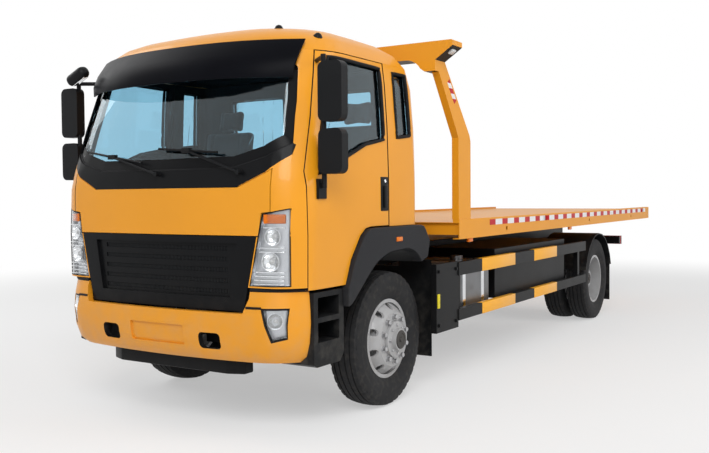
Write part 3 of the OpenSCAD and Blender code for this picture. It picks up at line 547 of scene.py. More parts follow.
YELLOW = Paint("body_yellow", Slot.YELLOW, colour=(0.79, 0.315, 0.009), rough=0.36, coat=0.22, dust=0.2)
BED_YELLOW = Paint("bed_yellow", Slot.YELLOW, colour=(0.77, 0.31, 0.011), rough=0.44, coat=0.12, dust=0.3,
                   peel=0.0005)
GUARD_YELLOW = Paint("guard_yellow", Slot.YELLOW, colour=(0.92, 0.42, 0.014), rough=0.4, coat=0.2, dust=0.05)
CHASSIS = Paint("chassis_black", Slot.CHASSIS, colour=(0.0055, 0.0057, 0.0063), rough=0.36, coat=0.03,
                dust=0.08, peel=0.0006, dust_colour=(0.05, 0.044, 0.038), gloss=0.1)
WINCH = Paint("winch_enamel", Slot.CHASSIS, colour=(0.03, 0.031, 0.034), rough=0.42, coat=0.2, dust=0.1)
CAST = Metal("cast_iron", Slot.DRIVELINE, colour=(0.11, 0.105, 0.1), rough=0.62, metallic=0.85,
             grain_scale=180.0, depth=0.0012, grime=0.45)
ALUMINIUM = Metal("tank_sheet", Slot.TANK, colour=(0.2, 0.203, 0.21), rough=0.34, grain=(1.0, 0.04, 1.0),
                  grain_scale=160.0, grime=0.3)
CHROME = Metal("plated_rod", Slot.CHROME, colour=(0.82, 0.83, 0.85), rough=0.1, grain_scale=40.0,
               depth=0.00005, grime=0.06)
STEEL_PIN = Metal("plated_bolt", Slot.CHROME, colour=(0.5, 0.5, 0.51), rough=0.34, grain_scale=120.0,
                  grime=0.3)
DARK = Plastic("moulded_black", Slot.DARK, colour=(0.008, 0.0085, 0.0095), rough=0.42)
GLOSS = Plastic("gloss_black", Slot.DARK, colour=(0.006, 0.0062, 0.007), rough=0.3, grain=0.00008,
                grain_scale=240.0, dust=0.08, gloss=0.09)
VISOR = Plastic("smoked_visor", Slot.DARK, colour=(0.0035, 0.0038, 0.0055), rough=0.34, grain=0.00003,
                grain_scale=120.0, dust=0.02, gloss=0.03)
GREY = Plastic("moulded_grey", Slot.GREY, colour=(0.022, 0.0225, 0.025), rough=0.55)
TRIM = Plastic("cab_trim", Slot.GREY, colour=(0.045, 0.046, 0.05), rough=0.65, grain=0.0006)
SEAL = Plastic("rubber_seal", Slot.DARK, colour=(0.01, 0.01, 0.011), rough=0.6, grain=0.0002, dust=0.1)
FRIT = Plastic("glass_border", Slot.GLASS, colour=(0.006, 0.0062, 0.007), rough=0.3, grain=0.00003, dust=0.03,
               gloss=0.08)
CLOTH = Fabric("seat_cloth", Slot.FABRIC)
GLASS = Glass("sheet_glass", Slot.GLASS)
LAMP_COVER = Glass("lamp_cover", Slot.LENS, tint=(0.95, 0.96, 0.97), smear=0.05)
SHELL = Metal("lamp_shell", Slot.CHROME, colour=(0.6, 0.61, 0.63), rough=0.3, grain_scale=70.0,
              depth=0.00005, grime=0.1)
HUB = Metal("hub_iron", Slot.RIM, colour=(0.06, 0.056, 0.052), rough=0.55, metallic=0.6, grain_scale=140.0,
            depth=0.0006, grime=0.35)
REFLECTOR = Metal("lamp_reflector", Slot.CHROME, colour=(0.88, 0.89, 0.9), rough=0.08, grain_scale=60.0,
                  depth=0.00004, grime=0.03)
AMBER = Lens("amber_lens", Slot.LENS, colour=(0.86, 0.2, 0.006))
RED = Lens("red_lens", Slot.TAIL, colour=(0.45, 0.012, 0.014))
WHITE_LENS = Lens("white_lens", Slot.LENS, colour=(0.75, 0.75, 0.74))
RUBBER = Rubber("tyre_rubber", Slot.TYRE)
RIM = Paint("rim_silver", Slot.RIM, colour=(0.4, 0.4, 0.405), rough=0.38, coat=0.3, dust=0.45,
            dust_colour=(0.16, 0.135, 0.11), dust_low=-0.6, dust_high=1.3)
MARK_YELLOW = Tape("marker_film", Slot.YELLOW, first=(0.75, 0.62, 0.02), second=(0.75, 0.62, 0.02))


@dataclass
class Skin:
    """The outer faces of some nodes, to set pieces on."""

    nodes: Sequence[str]
    truck: "Truck"
    tree: BVHTree = field(init=False)

    def __post_init__(self) -> None:
        """Joins the nodes' faces into one tree."""
        points: List[Vector] = []
        faces: List[List[int]] = []
        for name in self.nodes:
            mesh = self.truck.nodes[name].data
            base = len(points)
            points += [vertex.co.copy() for vertex in mesh.vertices]
            faces += [[base + index for index in face.vertices] for face in mesh.polygons]
        self.tree = BVHTree.FromPolygons(points, faces)

    def cast(self, start: Point, direction: Point) -> Optional[Tuple[Vector, Vector]]:
        """The first hit of a ray.

        Args:
            start: Where the ray starts.
            direction: Which way it goes.

        Returns:
            The point and its outward normal, or None.
        """
        ray = Vector(direction).normalized()
        point, normal, _, _ = self.tree.ray_cast(Vector(start), ray)
        if point is None:
            return None
        return point, normal if normal.dot(ray) < 0 else -normal

    def front(self, x: float, z: float) -> Optional[Tuple[Vector, Vector]]:
        """The point seen from ahead."""
        return self.cast((x, -AHEAD, z), (0.0, 1.0, 0.0))

    def side(self, side: Side, y: float, z: float) -> Optional[Tuple[Vector, Vector]]:
        """The point seen from a side."""
        return self.cast((side.value * ASIDE, y, z), (-side.value, 0.0, 0.0))

    def top(self, x: float, y: float) -> Optional[Tuple[Vector, Vector]]:
        """The point seen from above."""
        return self.cast((x, y, ABOVE), (0.0, 0.0, -1.0))


class Truck:
    """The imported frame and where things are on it."""

    def __init__(self) -> None:
        """Loads the frame and keeps its box."""
        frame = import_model()
        self.nodes: Dict[str, bpy.types.Object] = frame["nodes"]
        self.cad_box = [list(corner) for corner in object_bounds()]
        low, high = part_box("tyre_front_left")
        self.axle_y = (low[1] + high[1]) / 2
        self.wheel_z = (low[2] + high[2]) / 2
        low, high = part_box("tyres_rear_left")
        self.rear_y = (low[1] + high[1]) / 2

    def at(self, x: float, y: float, z: float) -> Vector:
        """A point whose y is given from the front axle."""
        return Vector((x, y + self.axle_y, z))

    def along(self, y: float) -> float:
        """A y from the front axle, in the truck's frame."""
        return y + self.axle_y


class Mould:
    """A mesh under construction, in the truck's frame."""

    def __init__(self) -> None:
        """Starts empty."""
        self.mesh = bmesh.new()

    def box(self, low: Point, high: Point, soften: float = 0.0, segments: int = 2) -> "Mould":
        """Adds a box with rounded edges.

        Args:
            low: Lowest corner.
            high: Highest corner.
            soften: Radius of the edges.
            segments: Facets of a rounded edge.

        Returns:
            The mould.
        """
        middle = (Vector(low) + Vector(high)) / 2
        size = Vector(high) - Vector(low)
        place = Matrix.Translation(middle) @ Matrix.Diagonal((*size, 1.0))
        made = bmesh.ops.create_cube(self.mesh, size=1.0, matrix=place)["verts"]
        if soften:
            edges = {edge for vertex in made for edge in vertex.link_edges}
            bmesh.ops.bevel(self.mesh, geom=list(edges), offset=min(soften, min(size) * 0.49),
                            segments=segments, profile=0.5, affect="EDGES")
        return self

    def turned_box(self, size: Point, place: Matrix, soften: float = 0.0, segments: int = 2) -> "Mould":
        """Adds a box about the origin and moves it.

        Args:
            size: Its three sides.
            place: Where it goes.
            soften: Radius of the edges.
            segments: Facets of a rounded edge.

        Returns:
            The mould.
        """
        before = set(self.mesh.verts)
        half = Vector(size) / 2
        self.box(-half, half, soften, segments)
        bmesh.ops.transform(self.mesh, matrix=place, verts=[v for v in self.mesh.verts if v not in before])
        return self

    def lathe(self, profile: Sequence[Pair], place: Matrix, steps: int = 32,
              shape: Optional[Callable[[int, int, float], float]] = None) -> "Mould":
        """Adds a turned form.

        Args:
            profile: Heights along the axis and radii; a radius of 0 closes an end.
            place: Puts the local Z axis where the form's axis is.
            steps: Facets round the axis.
            shape: Changes a radius, given the step, the profile's index and the radius.

        Returns:
            The mould.
        """
        rings: List[List[Any]] = []
        for index, (height, radius) in enumerate(profile):
            if radius <= 0.0:
                rings.append([self.mesh.verts.new(place @ Vector((0.0, 0.0, height)))])
                continue
            ring = []
            for step in range(steps):
                angle = math.tau * step / steps
                reach = shape(step, index, radius) if shape else radius
                ring.append(self.mesh.verts.new(
                    place @ Vector((reach * math.cos(angle), reach * math.sin(angle), height))))
            rings.append(ring)
        for first, second in zip(rings, rings[1:]):
            for step in range(steps):
                after = (step + 1) % steps
                corners = [first[step % len(first)], first[after % len(first)],
                           second[after % len(second)], second[step % len(second)]]
                unique = list(dict.fromkeys(corners))
                if len(unique) > 2:
                    self.mesh.faces.new(unique)
        return self

    def tube(self, points: Sequence[Point], radius: float, sides: int = 10, closed: bool = False) -> "Mould":
        """Adds a round bar along points.

        Args:
            points: Its middle line.
            radius: Of the bar.
            sides: Facets round it.
            closed: Whether the line is a loop.

        Returns:
            The mould.
        """
        line = [Vector(point) for point in points]
        count = len(line)
        rings = []
        up = Vector((0.0, 0.0, 1.0))
        for index, point in enumerate(line):
            before = line[index - 1] if closed or index else point
            after = line[(index + 1) % count] if closed or index + 1 < count else point
            way = (after - before).normalized()
            across = way.cross(up)
            if across.length < 0.05:
                across = way.cross(Vector((0.0, 1.0, 0.0)))
            across.normalize()
            lift = across.cross(way)
            rings.append([self.mesh.verts.new(
                point + radius * (math.cos(a) * across + math.sin(a) * lift))
                for a in (math.tau * k / sides for k in range(sides))])
        for index in range(count if closed else count - 1):
            first, second = rings[index], rings[(index + 1) % count]
            for k in range(sides):
                self.mesh.faces.new((first[k], first[(k + 1) % sides], second[(k + 1) % sides], second[k]))
        if not closed:
            self.mesh.faces.new(rings[0][::-1])
            self.mesh.faces.new(rings[-1])
        return self

    def prism(self, outline: Sequence[Point], depth: Point, soften: float = 0.0) -> "Mould":
        """Adds a plate of any outline.

        Args:
            outline: Its corners in order.
            depth: From the outline to the far face.
            soften: Radius of the edges.

        Returns:
            The mould.
        """
        near = [self.mesh.verts.new(point) for point in outline]
        face = self.mesh.faces.new(near)
        grown = bmesh.ops.extrude_face_region(self.mesh, geom=[face])["geom"]
        moved = [item for item in grown if isinstance(item, bmesh.types.BMVert)]
        bmesh.ops.translate(self.mesh, vec=Vector(depth), verts=moved)
        if soften:
            edges = {edge for vertex in near + moved for edge in vertex.link_edges}
            bmesh.ops.bevel(self.mesh, geom=list(edges), offset=soften, segments=2, profile=0.5,
                            affect="EDGES")
        return self

    def hexagon(self, point: Vector, way: Vector, across: float, height: float) -> "Mould":
        """Adds a hexagon nut or bolt head with its washer.

        Args:
            point: Where it sits.
            way: Outward.
            across: Width over its flats.
            height: Of the head.

        Returns:
            The mould.
        """
        place = Matrix.Translation(point) @ way.to_track_quat("Z", "X").to_matrix().to_4x4()
        corner = across / math.sqrt(3.0)
        self.lathe([(0.0, 0.0), (0.0, corner * 1.35), (height * 0.2, corner * 1.3), (height * 0.2, 0.0)],
                   place, 16)
        self.lathe([(height * 0.2, 0.0), (height * 0.2, corner), (height * 0.88, corner),
                    (height, corner * 0.82), (height, 0.0)], place, 6)
        return self

    def mirrored(self) -> "Mould":
        """Adds the same again on the other side of the truck."""
        geometry = self.mesh.verts[:] + self.mesh.edges[:] + self.mesh.faces[:]
        copied = bmesh.ops.duplicate(self.mesh, geom=geometry)["geom"]
        verts = [item for item in copied if isinstance(item, bmesh.types.BMVert)]
        faces = [item for item in copied if isinstance(item, bmesh.types.BMFace)]
        bmesh.ops.scale(self.mesh, vec=Vector((-1.0, 1.0, 1.0)), verts=verts)
        bmesh.ops.reverse_faces(self.mesh, faces=faces)
        return self

    def border(self, width: float) -> "Mould":
        """Keeps only a band of that width along the open edges."""
        rim = bmesh.ops.inset_region(self.mesh, faces=self.mesh.faces[:], thickness=width,
                                     use_boundary=True, use_even_offset=True)["faces"]
        keep = set(rim)
        bmesh.ops.delete(self.mesh, geom=[face for face in self.mesh.faces if face not in keep],
                         context="FACES")
        return self

    def lifted(self, distance: float) -> "Mould":
        """Moves each point along its normal."""
        self.mesh.normal_update()
        for vertex in self.mesh.verts:
            vertex.co += vertex.normal * distance
        return self

    def thickened(self, depth: float) -> "Mould":
        """Gives an open sheet a thickness inward."""
        bmesh.ops.solidify(self.mesh, geom=self.mesh.faces[:], thickness=depth)
        return self

    def open_loops(self) -> List[List[Vector]]:
        """The open edges as ordered loops of points."""
        free = {edge for edge in self.mesh.edges if edge.is_boundary}
        loops = []
        while free:
            edge = free.pop()
            start, here = edge.verts
            loop = [start.co.copy(), here.co.copy()]
            while here is not start:
                step = next((link for link in here.link_edges if link in free), None)
                if step is None:
                    break
                free.discard(step)
                here = step.other_vert(here)
                loop.append(here.co.copy())
            loops.append(loop[:-1])
        return loops

    def piece(self, name: str, finish: Finish, body: str, replaces: Sequence[str] = (),
              sharp: float = 35.0) -> bpy.types.Object:
        """Turns the mould out as a piece of the truck.

        Args:
            name: The piece's name.
            finish: Its finish.
            body: The body it rides on.
            replaces: The CAD nodes it stands for.
            sharp: Angle in degrees over which an edge shows.

        Returns:
            The piece.
        """
        bmesh.ops.remove_doubles(self.mesh, verts=self.mesh.verts[:], dist=SAME_POINT)
        bmesh.ops.recalc_face_normals(self.mesh, faces=self.mesh.faces[:])
        mesh = bpy.data.meshes.new(name)
        self.mesh.to_mesh(mesh)
        self.mesh.free()
        mesh.materials.append(finish.material())
        mesh.polygons.foreach_set("use_smooth", [True] * len(mesh.polygons))
        mesh.set_sharp_from_angle(angle=math.radians(sharp))
        made = bpy.data.objects.new(name, mesh)
        bpy.context.scene.collection.objects.link(made)
        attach(made, body)
        if replaces:
            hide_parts(*replaces)
        LOG.info("%s: %d faces on %s", name, len(mesh.polygons), body)
        return made


def peel(node: bpy.types.Object, keep: Callable[[Vector, Vector], bool]) -> Mould:
    """Copies some of a CAD node's faces.

    Args:
        node: The CAD node.
        keep: Says whether to keep a face, given its middle and its normal.

    Returns:
        A mould with the faces joined.
    """
    mould = Mould()
    made: Dict[int, Any] = {}
    mesh = node.data
    for face in mesh.polygons:
        if not keep(face.center, face.normal):
            continue
        corners = []
        for index in face.vertices:
            if index not in made:
                made[index] = mould.mesh.verts.new(mesh.vertices[index].co)
            corners.append(made[index])
        mould.mesh.faces.new(corners)
    bmesh.ops.remove_doubles(mould.mesh, verts=mould.mesh.verts[:], dist=SAME_CORNER)
    return mould


def scan(start: float, end: float, per_metre: int) -> Iterator[float]:
    """Places from start to end in even steps, without the end."""
    way = 1 if end > start else -1
    return (step / per_metre for step in range(round(start * per_metre), round(end * per_metre), way))


def facing(point: Vector, normal: Vector) -> Matrix:
    """A place whose local Z looks along a normal and whose local Y is upright."""
    away = normal.normalized()
    across = Vector((0.0, 0.0, 1.0)).cross(away).normalized()
    upright = away.cross(across)
    turn = Matrix((across, upright, away)).transposed().to_4x4()
    return Matrix.Translation(point) @ turn


def soften(node: bpy.types.Object, width: float, curved: bool = False) -> None:
    """Rounds the edges of a node.

    Args:
        node: The node.
        width: Of the rounding.
        curved: Whether its faces are curved, so that none are joined.
    """
    mesh = node.data
    mesh.polygons.foreach_set("use_smooth", [True] * len(mesh.polygons))
    if "custom_normal" in mesh.attributes:
        mesh.attributes.remove(mesh.attributes["custom_normal"])
    weld = node.modifiers.new("weld", "WELD")
    weld.merge_threshold = SAME_CORNER
    if not curved:
        flat = node.modifiers.new("planes", "DECIMATE")
        flat.decimate_type = "DISSOLVE"
        flat.angle_limit = FLAT_BEND
        flat.delimit = {"MATERIAL"}
    rounding = node.modifiers.new("edges", "BEVEL")
    rounding.width = width
    rounding.segments = 2
    rounding.limit_method = "ANGLE"
    rounding.angle_limit = ROUND_BEND
    rounding.use_clamp_overlap = True
    rounding.miter_outer = "MITER_ARC"
    node.modifiers.new("normals", "WEIGHTED_NORMAL").keep_sharp = False


@dataclass
class Coachwork:
    """The CAD nodes that stay in view, each with its finish and softened edges."""

    truck: Truck
    edge: float = 0.003
    panel_edge: float = 0.0015
    finishes: Dict[Finish, Sequence[str]] = field(default_factory=lambda: {
        YELLOW: ("cab_front", "cab_rear", "front_flap", "door_left", "door_right", "bumper"),
        BED_YELLOW: ("bed_deck", "gantry"),
        CHASSIS: ("chassis_frame", "front_axle", "rear_axle", "leaf_springs", "side_boxes", "side_guards",
                  "rear_bar", "tilt_frame", "knuckle_left", "knuckle_right", "tie_rod", "lift_barrels"),
        WINCH: ("winch_frame", "winch_drum"),
        CAST: ("driveline",),
        ALUMINIUM: ("fuel_tank",),
        CHROME: ("lift_rods",),
        DARK: ("cab_steps", "mirror_left", "mirror_right", "wipers", "rear_mudguards", "steering_wheel"),
        GLOSS: ("cowl_panel", "grille"),
        VISOR: ("sun_visor",),
        GREY: ("dashboard",),
        TRIM: ("cab_floor",),
        GLASS: ("windscreen", "cab_windows", "door_glass_left", "door_glass_right"),
        RED: ("tail_lamps",),
        RIM: ("rim_front_left", "rim_front_right", "rims_rear_left", "rims_rear_right"),
    })
    lofted: Sequence[str] = ("cab_front", "cab_rear", "front_flap", "door_left", "door_right", "bumper",
                              "cowl_panel", "grille", "sun_visor", "mirror_left", "mirror_right")
    lined: Sequence[str] = ("cab_front", "cab_rear", "door_left", "door_right")
    heart: Pair = (0.1, 1.9)
    inward: float = 0.55
    edge_on: float = 0.5
    forward: float = -0.1
    # Gantry faces whose normal's z is under this take black paint as painted shade under the beam.
    downward: float = -0.7
    face_lift: float = 0.001
    reveal_reach: float = 0.05
    reveal_far: float = 0.09
    side_x: float = 0.9
    crown_z: float = 2.7795
    crown: Sequence[Pair] = ((0.8, 2.7865), (0.6, 2.791), (0.4, 2.7935), (0.2, 2.7948))
    strip_reach: float = 0.03
    strip_far: float = 0.07
    shut_reach: float = 0.016
    hole_x: Pair = (0.33, 0.6)
    hole_z: Pair = (0.57, 0.71)
    strap_y: Sequence[float] = (1.21, 1.61)
    strap_half: float = 0.035

    def dress(self) -> None:
        """Gives every node its finish and edges."""
        self.panes = Skin(self.finishes[GLASS], self.truck)
        self.cowl = Skin(["cowl_panel"], self.truck)
        self.shell = Skin(self.lined, self.truck)
        for finish, names in self.finishes.items():
            for name in names:
                node = self.truck.nodes[name]
                node.data.materials.clear()
                node.data.materials.append(finish.material())
                node.data.polygons.foreach_set("material_index", [0] * len(node.data.polygons))
                if name in self.lined:
                    self.line(node)
                if finish is not GLASS:
                    curved = name in self.lofted
                    soften(node, self.panel_edge if curved else self.edge, curved)
                LOG.info("%s: %s", name, finish.name)
        self.roof()
        self.patch(self.truck.nodes["bumper"], DARK, self.in_hole)
        # The gantry's downward faces take black paint: painted shade under the beam.
        self.patch(self.truck.nodes["gantry"], CHASSIS, lambda face: face.normal.z < self.downward)
        self.patch(self.truck.nodes["fuel_tank"], CHROME, self.strapped)

    def roof(self) -> None:
        """Makes the roof panel, with an even crown over its upper line."""
        panel = peel(self.truck.nodes["cab_roof"], lambda c, n: c.z < self.crown_z)
        mesh = panel.mesh
        rim = {vertex for edge in mesh.edges if edge.is_boundary for vertex in edge.verts}
        middle = sum((vertex.co for vertex in rim), Vector()) / len(rim)
        order = sorted(rim, key=lambda vertex: math.atan2(vertex.co.y - middle.y, vertex.co.x - middle.x))
        outer = order
        for share, z in self.crown:
            inner = []
            for vertex in order:
                x, y, _ = (vertex.co - middle) * share + middle
                inner.append(mesh.verts.new((x, y, z)))
            for index, vertex in enumerate(outer):
                after = (index + 1) % len(outer)
                mesh.faces.new((vertex, outer[after], inner[after], inner[index]))
            outer = inner
        mesh.faces.new(outer)
        made = panel.piece("roof_panel", YELLOW, "chassis", replaces=["cab_roof"])
        self.line(made)
        soften(made, self.panel_edge, True)

    def patch(self, node: bpy.types.Object, finish: Finish, test: Callable[[Any], bool]) -> None:
        """Gives some faces of a node another finish.

        Args:
            node: The node.
            finish: The other finish.
            test: Says which faces take it.
        """
        node.data.materials.append(finish.material())
        index = len(node.data.materials) - 1
        for face in node.data.polygons:
            if test(face):
                face.material_index = index

    def line(self, node: bpy.types.Object) -> None:
        """Gives a cab panel's inner faces the cab's trim, its reveals black rubber, and its shut edges black
        as painted shade in the gaps between panels.

        Args:
            node: The panel.
        """
        low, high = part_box("cab_floor")
        back, up = self.heart
        heart = Vector(((low[0] + high[0]) / 2, (low[1] + high[1]) / 2 + back, up))
        self.patch(node, TRIM,
                   lambda face: face.normal.dot((heart - face.center).normalized()) > self.inward)
        # Shut edges take the black seal finish as painted shade in the gaps between panels; reveals take it
        # as rubber.
        self.patch(node, SEAL, lambda face: self.reveals(node, face) or self.shuts(face))

    def reveals(self, node: bpy.types.Object, face: Any) -> bool:
        """Says whether a face is a window's reveal or the strip between the screen and the cowl.

        Args:
            node: A cab panel.
            face: One of its faces.

        Returns:
            True if it is.
        """
        near = self.panes.tree.find_nearest(face.center, self.reveal_reach)
        if near[0] is None:
            return False
        corners = [node.data.vertices[index].co for index in face.vertices]
        inside = all(self.panes.tree.find_nearest(corner, self.reveal_far)[0] for corner in corners)
        behind = near[0].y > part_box("windscreen")[1][1] and abs(near[0].x) > self.side_x
        sideways = behind or node.name.startswith("door")
        if inside and abs(face.normal[0 if sideways else 1]) < self.edge_on:
            return True
        beside = all(self.cowl.tree.find_nearest(corner, self.strip_far)[0] for corner in corners)
        cowl = self.cowl.tree.find_nearest(face.center, self.strip_reach)[0]
        return beside and cowl is not None and near[3] < self.strip_reach and face.normal.y < self.forward

    def shuts(self, face: Any) -> bool:
        """Says whether a face looks into a shut line between two panels, where painted shade goes."""
        start = face.center + face.normal * self.face_lift
        return self.shell.tree.ray_cast(start, face.normal, self.shut_reach)[0] is not None

    def in_hole(self, face: Any) -> bool:
        """Says whether a face of the bumper lines an opening."""
        across, up = abs(face.center.x), face.center.z
        if not (self.hole_x[0] < across < self.hole_x[1] and self.hole_z[0] < up < self.hole_z[1]):
            return False
        return abs(face.normal.y) < self.edge_on

    def strapped(self, face: Any) -> bool:
        """Says whether a face of the tank is one of its straps."""
        return any(abs(face.center.y - self.truck.along(y)) < self.strap_half for y in self.strap_y)


@dataclass
class Glazing:
    """Black borders and rubber seals round the glass."""

    truck: Truck
    border_w: float = 0.08
    seal_r: float = 0.009
    window_seal_r: float = 0.013
    lift: float = 0.0012
    step: float = 0.05
    reaches: Sequence[float] = (0.004, 0.009, 0.014, 0.02, 0.028)
    screen_ahead: float = -0.25
    pane_out: float = 0.7
    door_out: float = 0.5
    back_w: float = 0.3
    stand_off: float = 0.3
    proud: float = 0.004

    def build(self) -> None:
        """Makes the windscreen's border and every seal."""
        screen = self.truck.nodes["windscreen"]
        self.seal("windscreen_seal", screen, lambda c, n: n.y < self.screen_ahead, "chassis", self.seal_r)
        band = peel(screen, lambda c, n: n.y < self.screen_ahead).border(self.border_w)
        band.lifted(self.lift).piece("windscreen_border", FRIT, "chassis")
        windows = self.truck.nodes["cab_windows"]
        self.seal("cab_window_seals", windows, self.outer, "chassis", self.window_seal_r,
                  Skin(["cab_rear"], self.truck))
        for side in Side:
            glass = self.truck.nodes[f"door_glass_{side.word}"]
            self.seal(f"door_seal_{side.word}", glass, lambda c, n, s=side: n.x * s.value > self.door_out,
                      f"door_{side.word}", self.window_seal_r, Skin([f"door_{side.word}"], self.truck))

    def outer(self, middle: Vector, normal: Vector) -> bool:
        """Says whether a face of the cab's windows looks out of the cab."""
        return normal.y > self.pane_out or normal.x * middle.x > self.pane_out * abs(middle.x)

    def seal(self, name: str, node: bpy.types.Object, keep: Callable[[Vector, Vector], bool], body: str,
             radius: float, panel: Optional[Skin] = None) -> None:
        """Lays a rubber bead round each pane.

        Args:
            name: The piece's name.
            node: The glass.
            keep: Picks its outer faces.
            body: The body that it rides on.
            radius: Of the bead.
            panel: What the bead lies on, if not the pane.
        """
        sheet = peel(node, keep)
        loops = sheet.open_loops()
        sheet.mesh.free()
        bead = Mould()
        for loop in loops:
            if len(loop) > 3:
                bead.tube(self.raised(loop, panel) if panel else loop, radius, BEAD_SIDES, closed=True)
        bead.piece(name, SEAL, body, sharp=60.0)

    def raised(self, loop: List[Vector], panel: Skin) -> List[Vector]:
        """Moves a pane's outline out to the face of the panel round it.

        Args:
            loop: The outline.
            panel: The panel.

        Returns:
            The outline on the panel's face.
        """
        middle = sum(loop, Vector()) / len(loop)
        wide = max(point.x for point in loop) - min(point.x for point in loop)
        across = Vector((math.copysign(1.0, middle.x), 0.0, 0.0))
        out = Vector((0.0, 1.0, 0.0)) if wide > self.back_w else across
        line: List[Vector] = []
        for here, after in zip(loop, loop[1:] + loop[:1]):
            parts = max(1, math.ceil((after - here).length / self.step))
            for part in range(parts):
                point = here.lerp(after, part / parts)
                away = (point - middle).normalized()
                starts = (point + away * reach + out * self.stand_off for reach in self.reaches)
                hits = (panel.cast(start, -out) for start in starts)
                on_face = (hit[0] for hit in hits if hit and (hit[0] - point).dot(out) > self.proud)
                line.append(next(on_face, point))
        return line


